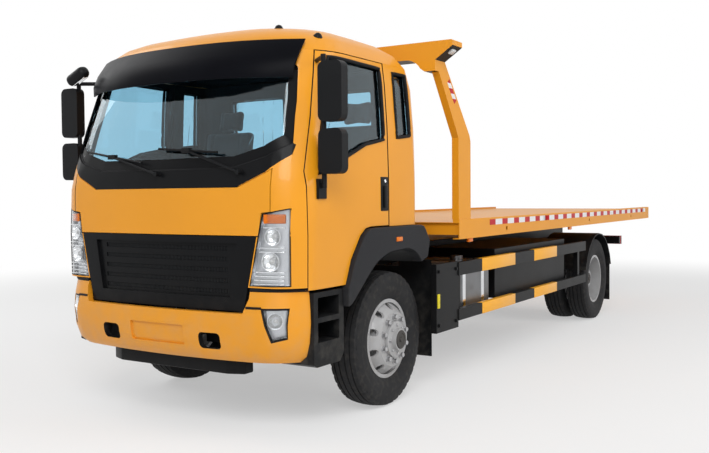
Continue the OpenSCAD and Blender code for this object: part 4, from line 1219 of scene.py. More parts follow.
@dataclass
class Lamps:
    """Headlamps and fog lamps: clear covers over plated bowls in dark housings."""

    truck: Truck
    cover_t: float = 0.003
    wall_t: float = 0.002
    fog_top: float = 0.9
    bowls: Sequence[Pair] = ((1.33, 0.052), (1.17, 0.058))
    amber_z: Pair = (1.415, 1.475)
    fog_bowl: Pair = (0.79, 0.048)
    bowl_depth: float = 0.034
    bowl: Sequence[Pair] = ((0.0, 1.08), (0.0, 1.0), (0.35, 0.93), (0.7, 0.72), (1.0, 0.36), (1.0, 0.0))
    bulb: Sequence[Pair] = ((1.0, 0.34), (0.7, 0.34), (0.4, 0.27), (0.25, 0.12), (0.22, 0.0))
    bowl_back: float = 0.004
    bowl_share: float = 0.44
    bowl_clear: float = 0.98
    face_y: float = -0.35
    rim_r: float = 0.005
    bezel_w: float = 0.014
    bezel_lift: float = 0.001
    fin_pitch: float = 0.026
    fin: Pair = (0.006, 0.018)
    fin_edge: float = 0.0015
    fin_share: float = 0.82
    fin_back: float = 0.014
    fin_foot: float = 0.12
    narrow: float = 0.04
    amber_t: float = 0.02
    amber_edge: float = 0.006
    amber_share: float = 0.84
    amber_back: float = 0.016
    reach_x: Pair = (0.5, 1.2)
    reach_steps: int = 200
    # Dark beads along the bumper's top under the headlamps, painted shadow in the gap between lamp and
    # bumper.
    filler_x: Pair = (0.76, 1.15)
    filler_steps: int = 20
    filler_r: float = 0.017
    filler_z: Pair = (1.04, 0.8)
    filler_seat: Size = (0.0, 0.01, 0.008)
    filler_front: float = -0.2
    fog_foot: float = 0.6
    height_steps: int = 500
    band_run: float = 0.13
    band_steps: int = 6
    band_lift: float = 0.002
    band_drop: float = 0.004

    def build(self) -> None:
        """Makes covers, housings and what lies behind the covers."""
        node = self.truck.nodes["front_lamps"]
        self.skin = Skin(["front_lamps"], self.truck)
        housing = peel(node, lambda c, n: n.y > self.face_y).thickened(self.wall_t)
        housing.piece("lamp_housings", SHELL, "chassis", replaces=["front_lamps"])
        cover = peel(node, lambda c, n: n.y <= self.face_y)
        rims = Mould()
        for loop in cover.open_loops():
            if len(loop) > 3:
                rims.tube(loop, self.rim_r, BEAD_SIDES, closed=True)
        rims.piece("lamp_rims", SEAL, "chassis", sharp=60.0)
        cover.thickened(self.cover_t).piece("lamp_covers", LAMP_COVER, "chassis")
        fogs = peel(node, lambda c, n: n.y <= self.face_y and c.z < self.fog_top)
        fogs.border(self.bezel_w).lifted(self.bezel_lift).piece("fog_bezels", DARK, "chassis")
        for side in Side:
            self.cells(side)
        self.fillers()

    def fillers(self) -> None:
        """Makes dark beads along the bumper's top under the headlamps, painted shadow in the gap there, and a
        thinner dark band along the top of each fog lamp.
        """
        bumper = Skin(["bumper"], self.truck)
        # The beads along the bumper's top edge are painted shadow in the gap under the headlamps.
        gap_shade_bead = Mould()
        start, end = self.filler_x
        line = []
        for step in range(self.filler_steps + 1):
            x = start + (end - start) * step / self.filler_steps
            hits = (bumper.front(x, z) for z in scan(*self.filler_z, self.height_steps))
            edge = next((hit for hit in hits if hit and hit[1].y < self.filler_front), None)
            if edge:
                line.append(edge[0] + Vector(self.filler_seat))
        gap_shade_bead.tube(line, self.filler_r, BEAD_SIDES)
        top = next(z for z in scan(self.fog_top, self.fog_foot, self.height_steps)
                   if self.reach(Side.LEFT, z)[1] > 0.0)
        inner = self.reach(Side.LEFT, top - self.band_drop)[0]
        band = [bumper.front(inner - self.band_run * step / self.band_steps, top + self.band_lift)
                for step in range(self.band_steps + 1)]
        gap_shade_bead.tube([hit[0] for hit in band if hit], self.filler_r / 2, BEAD_SIDES)
        gap_shade_bead.mirrored().piece("bumper_fillers", SEAL, "chassis", sharp=60.0)

    def reach(self, side: Side, z: float) -> Pair:
        """How far a lamp goes across at a height.

        Args:
            side: Which lamp.
            z: The height.

        Returns:
            The inner and the outer x, without the side's sign.
        """
        seen = [x for x in scan(*self.reach_x, self.reach_steps) if self.skin.front(side.value * x, z)]
        return (min(seen), max(seen)) if seen else (0.0, 0.0)

    def cells(self, side: Side) -> None:
        """Makes the bowls, bulbs, fins and amber cell of one side.

        Args:
            side: Which side.
        """
        plate = Mould()
        bulbs = Mould()
        for z, radius in (*self.bowls, self.fog_bowl):
            low, high = self.reach(side, z)
            middle = side.value * (low + high) / 2
            hit = self.skin.front(middle, z)
            if hit is None:
                continue
            point, normal = hit
            size = min(radius, (high - low) * self.bowl_share)
            place = facing(point - normal * (self.cover_t + self.bowl_back), normal)
            depth = self.bowl_depth
            plate.lathe([(-depth * back, size * share) for back, share in self.bowl], place, 36)
            bulbs.lathe([(-depth * back, size * share) for back, share in self.bulb], place, 24)
        plate.piece(f"lamp_bowls_{side.word}", REFLECTOR, "chassis", sharp=50.0)
        bulbs.piece(f"lamp_bulbs_{side.word}", WHITE_LENS, "chassis", sharp=50.0)
        fins = Mould()
        z = self.amber_z[0] - self.fin_pitch
        while z > self.fog_top + self.fin_foot:
            blocked = any(abs(z - mid) < radius * self.bowl_clear for mid, radius in self.bowls)
            low, high = self.reach(side, z)
            if not blocked and high - low > self.narrow:
                hit = self.skin.front(side.value * (low + high) / 2, z)
                place = facing(hit[0] - hit[1] * (self.cover_t + self.fin_back), hit[1])
                fins.turned_box(((high - low) * self.fin_share, *self.fin), place, self.fin_edge)
            z -= self.fin_pitch
        fins.piece(f"lamp_fins_{side.word}", REFLECTOR, "chassis")
        bottom, top = self.amber_z
        low, high = self.reach(side, (bottom + top) / 2)
        hit = self.skin.front(side.value * (low + high) / 2, (bottom + top) / 2)
        amber = Mould()
        if hit:
            place = facing(hit[0] - hit[1] * (self.cover_t + self.amber_back), hit[1])
            cell = ((high - low) * self.amber_share, top - bottom, self.amber_t)
            amber.turned_box(cell, place, self.amber_edge)
        amber.piece(f"lamp_amber_{side.word}", AMBER, "chassis")


@dataclass
class Tyres:
    """Road tyres with grooves and shoulder blocks, and the wheels' fittings."""

    truck: Truck
    steps: int = 200
    groove_w: float = 0.009
    groove_depth: float = 0.012
    grooves: Sequence[float] = (-0.07, -0.026, 0.026, 0.07)
    bead_r: float = 0.2865
    groove_wall: float = 0.001
    crown_share: float = 0.84
    crown_drop: float = 0.011
    ground_gap: float = 0.0005
    slot_every: int = 5
    slot_depth: float = 0.008
    slot_x: float = 0.082
    slot_r: float = 0.477
    nuts: int = 10
    nut_circle: float = 0.1675
    nut: Pair = (0.032, 0.03)
    hub_bolts: int = 8
    hub_circles: Pair = (0.105, 0.11)
    hub_bolt: Pair = (0.016, 0.009)
    cap_r: float = 0.07
    cap: Sequence[Pair] = ((-0.012, 1.0), (0.004, 1.0), (0.009, 0.93), (0.009, 0.7), (0.004, 0.64),
                           (0.004, 0.3), (0.012, 0.26), (0.013, 0.0))
    twin_pitch: float = 0.3

    def build(self) -> None:
        """Makes all six tyres and the four sets of fittings."""
        for side in Side:
            for place in ("front", "rear"):
                node = f"tyre_front_{side.word}" if place == "front" else f"tyres_rear_{side.word}"
                low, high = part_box(node)
                middle = (low[0] + high[0]) / 2
                centre_y = (low[1] + high[1]) / 2
                radius = (high[2] - low[2]) / 2
                lanes = [0.0] if place == "front" else [-self.twin_pitch / 2, self.twin_pitch / 2]
                half = (high[0] - low[0]) / 2 - max(lanes)
                mould = Mould()
                for lane in lanes:
                    centre = Vector((middle + lane, centre_y, self.truck.wheel_z))
                    self.tyre(mould, centre, radius - self.ground_gap, half)
                mould.piece(node.replace("tyre", "road_tyre"), RUBBER, f"wheel_{place}_{side.word}", [node],
                            30.0)
                self.fittings(side, place, centre_y)

    def profile(self, radius: float, half: float) -> List[Pair]:
        """The tyre's section.

        Args:
            radius: Of the tread's middle.
            half: Half the section's width.

        Returns:
            Places across and radii, from the inner bead over the tread to the outer bead.
        """
        wall = [(0.66, self.bead_r), (0.73, self.bead_r + 0.008), (0.79, self.bead_r + 0.02),
                (0.92, 0.332), (0.985, 0.365), (0.993, 0.368), (1.0, 0.395), (0.995, 0.417), (1.0, 0.42),
                (0.997, 0.424), (0.965, 0.452), (0.93, 0.47), (0.915, 0.474), (0.9, 0.478), (0.862, 0.49)]
        left = [(-share * half, r) for share, r in wall]
        crown = []
        edge = self.crown_share * half
        stations = [-edge]
        for x in self.grooves:
            near, far = x - self.groove_w / 2, x + self.groove_w / 2
            stations += [near - self.groove_wall, near, far, far + self.groove_wall]
        stations.append(edge)
        for x in stations:
            drop = self.crown_drop * (x / edge) ** 2
            in_groove = any(abs(x - g) <= self.groove_w / 2 + SAME_POINT for g in self.grooves)
            crown.append((x, radius - drop - (self.groove_depth if in_groove else 0.0)))
        return left + crown + [(-x, r) for x, r in reversed(left)]

    def tyre(self, mould: Mould, centre: Vector, radius: float, half: float) -> None:
        """Adds a tyre.

        Args:
            mould: Where to.
            centre: Its middle.
            radius: Of the tread's middle.
            half: Half the section's width.
        """
        section = self.profile(radius, half)

        def shoulder(step: int, index: int, reach: float) -> float:
            """Cuts a slot across the tyre's shoulders."""
            across = abs(section[index][0])
            if step % self.slot_every == 0 and across > self.slot_x and reach > self.slot_r:
                return reach - self.slot_depth
            return reach

        turn = Matrix.Translation(centre) @ Matrix.Rotation(math.pi / 2, 4, "Y")
        mould.lathe(section, turn, self.steps, shoulder)

    def fittings(self, side: Side, place: str, y: float) -> None:
        """Makes a wheel's nuts, hub bolts and hub cap.

        Args:
            side: Which side.
            place: Front or rear.
            y: The axle's place.
        """
        skin = Skin([f"rim_front_{side.word}" if place == "front" else f"rims_rear_{side.word}"], self.truck)
        nuts = Mould()
        for index in range(self.nuts):
            angle = math.tau * (index + 0.5) / self.nuts
            turn = Vector((0.0, math.cos(angle), math.sin(angle)))
            hit = skin.side(side, y + self.nut_circle * turn.y, self.truck.wheel_z + self.nut_circle * turn.z)
            if hit:
                nuts.hexagon(hit[0], side.out, *self.nut)
        front, rear = self.hub_circles
        ring = front if place == "front" else rear
        for index in range(self.hub_bolts):
            angle = math.tau * index / self.hub_bolts
            hit = skin.side(side, y + ring * math.cos(angle), self.truck.wheel_z + ring * math.sin(angle))
            if hit:
                nuts.hexagon(hit[0], side.out, *self.hub_bolt)
        nuts.piece(f"wheel_nuts_{place}_{side.word}", STEEL_PIN, f"wheel_{place}_{side.word}", sharp=30.0)
        hit = skin.side(side, y, self.truck.wheel_z)
        cap = Mould()
        section = [(height, self.cap_r * share) for height, share in self.cap]
        cap.lathe(section, facing(hit[0], side.out), 40)
        cap.piece(f"hub_cap_{place}_{side.word}", HUB, f"wheel_{place}_{side.word}")


@dataclass
class CabDetails:
    """Arch trims, grille mesh, handles, roof lamps, mirrors' panes and repeaters on the cab."""

    truck: Truck
    plate_y: Pair = (-0.2, -0.092)
    plate_z: Pair = (1.475, 1.725)
    plate_t: float = 0.02
    plate_sink: float = 0.005
    plate_edge: float = 0.007
    grip: Size = (0.42, 0.66, 0.014)
    grip_at: Pair = (0.014, -0.02)
    grip_edge: float = 0.006
    stub: Size = (0.3, 0.022, 0.02)
    stub_z: Sequence[float] = (-0.075, 0.035)
    stub_out: float = 0.006
    stub_edge: float = 0.003
    beside_plate: float = 0.04
    lock_at: Pair = (0.004, 0.38)
    lock: Sequence[Pair] = ((-0.004, 0.0), (-0.004, 0.014), (0.006, 0.013), (0.007, 0.009), (0.005, 0.008),
                            (0.005, 0.0))
    dome_x: Sequence[float] = (0.62, 0.95)
    dome_y: float = -0.74
    dome_r: float = 0.032
    dome_sink: float = 0.004
    dome: Sequence[Pair] = ((0.0, 0.0), (0.0, 1.0), (0.2, 1.0), (0.3, 0.85), (0.55, 0.75), (0.8, 0.5),
                            (0.92, 0.2), (0.94, 0.0))
    kerb_post: Size = (-1.16, -0.99, -0.03)
    kerb_off: Size = (0.11, -0.1, 0.05)
    kerb_elbow: Size = (0.0, -0.02, 0.03)
    kerb_head: Size = (0.2, 0.1, 0.09)
    kerb_edge: float = 0.04
    kerb_turns: Pair = (-24.0, 16.0)
    kerb_stalk_r: float = 0.013
    kerb_pane: Size = (0.14, 0.05, 0.008)
    kerb_pane_z: float = -0.042
    beam_back: float = 0.16
    beam_depth: float = 0.14
    beam_taper: Pair = (0.12, 0.05)
    beam_edge: float = 0.01
    bracket_x: float = 0.37
    bracket_half: float = 0.03
    bracket_y: Pair = (0.04, 0.13)
    bracket_edge: float = 0.006
    beam_half: float = 0.62
    beam_z: Pair = (0.4, 0.5)
    bracket_top: float = 0.6
    trim_w: float = 0.0931
    trim_edge: float = 0.012
    trim_slack: float = 0.002
    trim_out: float = 0.9
    bend_run: float = 0.2
    bend_share: float = 0.25
    bend_passes: int = 3
    sharp_bend: float = 0.9
    field_z: Pair = (0.93, 1.285)
    field_half: float = 0.565
    louvres: int = 5
    wire_pitch: float = 0.0125
    wire_w: float = 0.0088
    wire_back: float = 0.007
    wire_run: float = 0.017
    wire_t: float = 0.004
    pane_rows: int = 90
    pane_columns: int = 40
    pane_share: float = 0.4
    pane_least: int = 8
    pane_in: Pair = (0.012, 0.018)
    pane_half: float = 0.003
    back_out: float = 0.9
    repeater: Size = (0.085, 0.034, 0.02)
    repeater_at: Pair = (0.018, 1.262)
    repeater_edge: float = 0.007

    def build(self) -> None:
        """Makes each small fitting of the cab."""
        self.domes()
        for side in Side:
            self.handle(side)
            self.mirror_glass(side)
        self.repeaters()
        self.kerb_mirror()
        self.underrun()
        self.arches()
        self.grille_mesh()

    def arches(self) -> None:
        """Makes the wheel arch trims with rounded bends, and their liners."""
        node = self.truck.nodes["wheel_arches"]
        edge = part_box("wheel_arches")[1][0]
        sheet = peel(node, lambda c, n: c.x > edge - self.trim_slack and n.x > self.trim_out)
        outline = self.rounded(max(sheet.open_loops(), key=len))
        sheet.mesh.free()
        trims = Mould().prism(outline, (-self.trim_w, 0.0, 0.0)).mirrored()
        soften(trims.piece("arch_trims", GREY, "chassis", replaces=["wheel_arches"]), self.trim_edge)
        liners = peel(node, lambda c, n: abs(c.x) < edge - self.trim_w - self.trim_slack / 2)
        liners.piece("arch_liners", DARK, "chassis")

    def rounded(self, loop: List[Vector]) -> List[Vector]:
        """Rounds the shallow bends of an outline.

        Args:
            loop: Its corners.

        Returns:
            More corners, on curves.
        """
        line: List[Vector] = []
        for here, after in zip(loop, loop[1:] + loop[:1]):
            parts = max(1, round((after - here).length / self.bend_run))
            line += [here.lerp(after, part / parts) for part in range(parts)]
        for _ in range(self.bend_passes):
            fresh: List[Vector] = []
            for before, here, after in zip(line[-1:] + line[:-1], line, line[1:] + line[:1]):
                if (here - before).angle(after - here) > self.sharp_bend:
                    fresh.append(here)
                else:
                    fresh += [here.lerp(corner, self.bend_share) for corner in (before, after)]
            line = fresh
        return line

    def grille_mesh(self) -> None:
        """Makes the wire mesh behind the grille's slots."""
        skin = Skin(["grille"], self.truck)
        low, high = self.field_z
        pitch = (high - low) / self.louvres
        wires = Mould()
        count = int(self.field_half * 2 / self.wire_pitch)
        for slot in range(self.louvres):
            z = low + (slot + 0.5) * pitch
            for index in range(count + 1):
                x = -self.field_half + 2 * self.field_half * index / count
                bar = skin.front(x, z + pitch / 2 if slot + 1 < self.louvres else z - pitch / 2)
                if bar is None:
                    continue
                y = bar[0].y + self.wire_back
                wires.box((x - self.wire_w / 2, y, z - self.wire_run),
                          (x + self.wire_w / 2, y + self.wire_t, z + self.wire_run))
        wires.piece("grille_mesh", DARK, "chassis")

    def kerb_mirror(self) -> None:
        """Makes the small head above the right mirrors that looks down at the kerb."""
        x, y, below = self.kerb_post
        post = Vector((x, self.truck.along(y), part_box("mirror_right")[1][2] + below))
        middle = post + Vector(self.kerb_off)
        lean, dip = (math.radians(angle) for angle in self.kerb_turns)
        place = Matrix.Translation(middle) @ (Matrix.Rotation(lean, 4, "Y") @ Matrix.Rotation(dip, 4, "X"))
        shell = Mould()
        shell.turned_box(self.kerb_head, place, self.kerb_edge, 5)
        shell.tube([post, post + Vector(self.kerb_elbow), middle], self.kerb_stalk_r, 12)
        shell.piece("kerb_mirror", DARK, "door_right")
        pane = Mould()
        pane.turned_box(self.kerb_pane, place @ Matrix.Translation((0.0, 0.0, self.kerb_pane_z)), 0.002)
        pane.piece("kerb_mirror_glass", REFLECTOR, "door_right")

    def underrun(self) -> None:
        """Makes the dark beam below the bumper."""
        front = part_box("bumper")[0][1] + self.beam_back
        half = self.beam_half
        bottom, top = self.beam_z
        inward, back = self.beam_taper
        plan = [(-half, back), (-half + inward, 0.0), (half - inward, 0.0), (half, back),
                (half, self.beam_depth), (-half, self.beam_depth)]
        beam = Mould()
        beam.prism([(x, front + y, bottom) for x, y in plan], (0.0, 0.0, top - bottom), self.beam_edge)
        near, far = (front + y for y in self.bracket_y)
        for x in (-self.bracket_x, self.bracket_x):
            beam.box((x - self.bracket_half, near, top - self.beam_edge),
                     (x + self.bracket_half, far, self.bracket_top), self.bracket_edge)
        beam.piece("underrun_beam", CHASSIS, "chassis")

    def domes(self) -> None:
        """Makes the small dark lamps along the roof's edge."""
        roof = Skin(["cab_roof"], self.truck)
        bases = Mould()
        for x in self.dome_x:
            hit = roof.top(x, self.truck.along(self.dome_y))
            if hit is None:
                continue
            place = facing(hit[0] - hit[1] * self.dome_sink, hit[1])
            section = [(self.dome_r * height, self.dome_r * share) for height, share in self.dome]
            bases.lathe(section, place, 28)
        bases.piece("roof_domes", DARK, "chassis", sharp=40.0)

    def handle(self, side: Side) -> None:
        """Makes a door's handle in its pocket.

        Args:
            side: Which door.
        """
        skin = Skin([f"door_{side.word}"], self.truck)
        y0, y1 = (self.truck.along(y) for y in self.plate_y)
        z0, z1 = self.plate_z
        wide, high = y1 - y0, z1 - z0
        face = abs(skin.side(side, y0 - self.beside_plate, (z0 + z1) / 2)[0].x)
        middle = Vector((side.value * face, (y0 + y1) / 2, (z0 + z1) / 2))

        def place(proud: float, up: float) -> Matrix:
            """A place on the plate, so far out and so far up from its middle."""
            return facing(middle + side.out * proud + Vector((0.0, 0.0, up)), side.out)

        cup = Mould()
        cup.turned_box((wide, high, self.plate_t), place(-self.plate_sink, 0.0), self.plate_edge, 3)
        share_y, share_z, depth = self.grip
        cup.turned_box((wide * share_y, high * share_z, depth), place(*self.grip_at), self.grip_edge, 3)
        share_y, *rest = self.stub
        for up in self.stub_z:
            cup.turned_box((wide * share_y, *rest), place(self.stub_out, up), self.stub_edge)
        cup.piece(f"door_handle_{side.word}", DARK, f"door_{side.word}")
        lock = Mould()
        proud, share_z = self.lock_at
        lock.lathe(self.lock, place(proud, high * share_z), 24)
        lock.piece(f"door_lock_{side.word}", CHROME, f"door_{side.word}")

    def mirror_glass(self, side: Side) -> None:
        """Makes the panes at the back of a door's mirrors.

        Args:
            side: Which door.
        """
        skin = Skin([f"mirror_{side.word}"], self.truck)
        low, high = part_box(f"mirror_{side.word}")
        rows, columns = self.pane_rows, self.pane_columns
        back: Dict[int, List[Pair]] = {}
        for row in range(rows):
            z = low[2] + (high[2] - low[2]) * (row + 0.5) / rows
            hits = []
            for column in range(columns):
                x = low[0] + (high[0] - low[0]) * (column + 0.5) / columns
                hit = skin.cast((x, high[1] + 1.0, z), (0.0, -1.0, 0.0))
                if hit and hit[1].y > self.back_out:
                    hits.append((x, hit[0].y))
            if len(hits) > columns * self.pane_share:
                back[row] = hits
        panes = Mould()
        run: List[int] = []
        for row in range(rows + 1):
            if row in back:
                run.append(row)
                continue
            if len(run) > self.pane_least:
                step = (high[2] - low[2]) / rows
                across, up = self.pane_in
                row_mid = back[run[len(run) // 2]]
                xs = [x for x, _ in row_mid]
                face = row_mid[len(xs) // 2][1]
                foot, head = low[2] + run[0] * step + up, low[2] + (run[-1] + 1) * step - up
                panes.box((min(xs) + across, face - self.pane_half, foot),
                          (max(xs) - across, face + self.pane_half, head), self.pane_half)
            run = []
        panes.piece(f"mirror_glass_{side.word}", REFLECTOR, f"door_{side.word}")

    def repeaters(self) -> None:
        """Makes the amber lamps on the wheel arches."""
        skin = Skin(["wheel_arches"], self.truck)
        lamps = Mould()
        y, z = self.repeater_at
        hit = skin.side(Side.LEFT, self.truck.along(y), z)
        if hit:
            lamps.turned_box(self.repeater, facing(hit[0], hit[1]), self.repeater_edge, 3)
        lamps.mirrored().piece("arch_repeaters", AMBER, "chassis")


@dataclass
class BedDetails:
    """Tape, marker lamps and fittings on the bed and the gantry."""

    truck: Truck
    tape_y: Pair = (1.51, 7.35)
    tape_z: Pair = (1.318, 1.368)
    red_blocks: int = 20
    tape_sink: float = 0.001
    tape_t: float = 0.0012
    red_share: float = 0.45
    marker_y: Sequence[float] = (1.124, 3.855)
    marker: Size = (0.09, 0.036, 0.024)
    marker_in: float = 0.02
    marker_drop: float = 0.016
    below: float = 0.6
    arm_ends: Sequence[Pair] = ((0.66, 2.49), (0.79, 2.33))
    arm_tape_w: float = 0.05
    arm_tape_t: float = 0.0022
    arm_in: float = 0.005
    beam_lamp: Size = (0.07, 0.05, 0.03)
    beam_lamp_in: Pair = (0.05, 0.09)
    below_beam: float = 2.0
    lamp_edge: float = 0.008

    def build(self) -> None:
        """Makes the tape, the markers and what the gantry carries."""
        self.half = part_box("bed_deck")[1][0]
        start, end = (self.truck.along(y) for y in self.tape_y)
        tape = Tape("side_tape", Slot.YELLOW, pitch=(end - start) / self.red_blocks, start=start,
                    share=self.red_share)
        strip = Mould()
        count = self.red_blocks * 2
        for index in range(count):
            y0 = start + (end - start) * index / count
            y1 = start + (end - start) * (index + 1) / count
            strip.box((self.half - self.tape_sink, y0, self.tape_z[0]),
                      (self.half + self.tape_t, y1, self.tape_z[1]))
        strip.mirrored().piece("bed_tape", tape, "bed")
        lamps = Mould()
        skin = Skin(["bed_deck"], self.truck)
        for y in self.marker_y:
            start_at = (self.half - self.marker_in, self.truck.along(y), self.below)
            under = skin.cast(start_at, (0.0, 0.0, 1.0))
            place = facing(under[0] - Vector((0.0, 0.0, self.marker_drop)), Side.LEFT.out)
            lamps.turned_box(self.marker, place, self.lamp_edge, 3)
        lamps.mirrored().piece("bed_markers", AMBER, "bed")
        self.arm_tape()

    def arm_tape(self) -> None:
        """Makes the tape on the gantry's arms and the lamps under the beam's ends."""
        (y0, z0), (y1, z1) = ((self.truck.along(y), z) for y, z in self.arm_ends)
        way = Vector((0.0, y1 - y0, z1 - z0))
        across = Vector((0.0, way.z, -way.y)).normalized() * self.arm_tape_w
        film = Tape("arm_tape", Slot.YELLOW, pitch=abs(z1 - z0) / 2, start=min(z0, z1), axis=2)
        strip = Mould()
        corner = Vector((self.half - self.arm_in - self.tape_sink, y0, z0))
        strip.prism([corner, corner + way, corner + way - across, corner - across],
                    (self.arm_tape_t, 0.0, 0.0))
        strip.mirrored().piece("arm_tape", film, "bed")
        low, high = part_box("gantry")
        lamp = Mould()
        skin = Skin(["gantry"], self.truck)
        inward, back = self.beam_lamp_in
        hit = skin.cast((high[0] - inward, low[1] + back, self.below_beam), (0.0, 0.0, 1.0))
        if hit:
            lamp.turned_box(self.beam_lamp, facing(hit[0], hit[1]), self.lamp_edge, 3)
        lamp.mirrored().piece("beam_lamps", WHITE_LENS, "bed")


@dataclass
class Underframe:
    """Guards, bolts and lamps round the chassis."""

    truck: Truck
    patches: Sequence[Pair] = ((1.34, 2.13), (2.65, 3.35))
    rails: Sequence[Pair] = ((0.92, 1.03), (0.545, 0.64))
    patch_depth: float = 0.052
    patch_t: float = 0.0012
    patch_edge: float = 0.003
    mark: Size = (0.04, 0.115, 0.01)
    mark_at: Size = (-0.008, 0.495, 0.745)
    mark_edge: float = 0.004
    guard_bolt: Pair = (0.022, 0.014)
    guard_bolt_y: Sequence[float] = (0.5, 0.82)
    guard_bolt_z: Sequence[float] = (0.55, 0.98)
    frame_bolt: Pair = (0.024, 0.016)
    frame_bolt_y: Pair = (-0.9, 6.1)
    frame_bolt_z: Sequence[float] = (0.83, 0.945)
    frame_pitch: float = 0.35
    rail_out: float = 0.9
    tail_inner: float = 0.7
    tail_count: int = 4
    tail_gap: Pair = (0.006, 0.008)
    tail_sink: float = 0.004
    tail_proud: float = 0.006
    tail_edge: float = 0.004
    divider_half: float = 0.004
    divider_proud: float = 0.005
    divider_edge: float = 0.001

    def build(self) -> None:
        """Makes the guard patches, reflectors and bolts."""
        self.guard_patches()
        self.frame_bolts()
        self.tail_cells()

    def guard_patches(self) -> None:
        """Makes the yellow lengths on the side guards."""
        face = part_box("side_guards")[1][0]
        mould = Mould()
        for y0, y1 in self.patches:
            for z0, z1 in self.rails:
                mould.box((face - self.patch_depth, self.truck.along(y0), z0 - self.patch_t),
                          (face + self.patch_t, self.truck.along(y1), z1 + self.patch_t), self.patch_edge)
        mould.mirrored().piece("guard_patches", GUARD_YELLOW, "chassis")
        marks = Mould()
        x, y, z = self.mark_at
        place = Vector((face + x, self.truck.along(y), z))
        marks.turned_box(self.mark, facing(place, Side.LEFT.out), self.mark_edge)
        marks.mirrored().piece("guard_reflectors", MARK_YELLOW, "chassis")
        bolts = Mould()
        skin = Skin(["side_guards"], self.truck)
        for y in self.guard_bolt_y:
            for z in self.guard_bolt_z:
                hit = skin.side(Side.LEFT, self.truck.along(y), z)
                if hit:
                    bolts.hexagon(hit[0], Side.LEFT.out, *self.guard_bolt)
        bolts.mirrored().piece("guard_bolts", CHASSIS, "chassis")

    def frame_bolts(self) -> None:
        """Makes rows of bolts along the rails."""
        skin = Skin(["chassis_frame"], self.truck)
        bolts = Mould()
        y, end = self.frame_bolt_y
        while y < end:
            for z in self.frame_bolt_z:
                hit = skin.side(Side.LEFT, self.truck.along(y), z)
                if hit and hit[1].x > self.rail_out:
                    bolts.hexagon(hit[0], Side.LEFT.out, *self.frame_bolt)
            y += self.frame_pitch
        bolts.mirrored().piece("frame_bolts", STEEL_PIN, "chassis")

    def tail_cells(self) -> None:
        """Makes the coloured cells of the tail lamps."""
        low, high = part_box("tail_lamps")
        inner, outer, back = self.tail_inner, high[0], high[1]
        width = (outer - inner) / self.tail_count
        across, up = self.tail_gap
        for name, finish, cell in (("tail_amber", AMBER, 3), ("tail_white", WHITE_LENS, 0)):
            mould = Mould()
            x0 = inner + width * cell
            mould.box((x0 + across, back - self.tail_sink, low[2] + up),
                      (x0 + width - across, back + self.tail_proud, high[2] - up), self.tail_edge)
            mould.mirrored().piece(name, finish, "chassis")
        rims = Mould()
        for cell in range(self.tail_count + 1):
            x = inner + width * cell
            rims.box((x - self.divider_half, back - self.tail_sink, low[2]),
                     (x + self.divider_half, back + self.divider_proud, high[2]), self.divider_edge)
        rims.mirrored().piece("tail_dividers", DARK, "chassis")


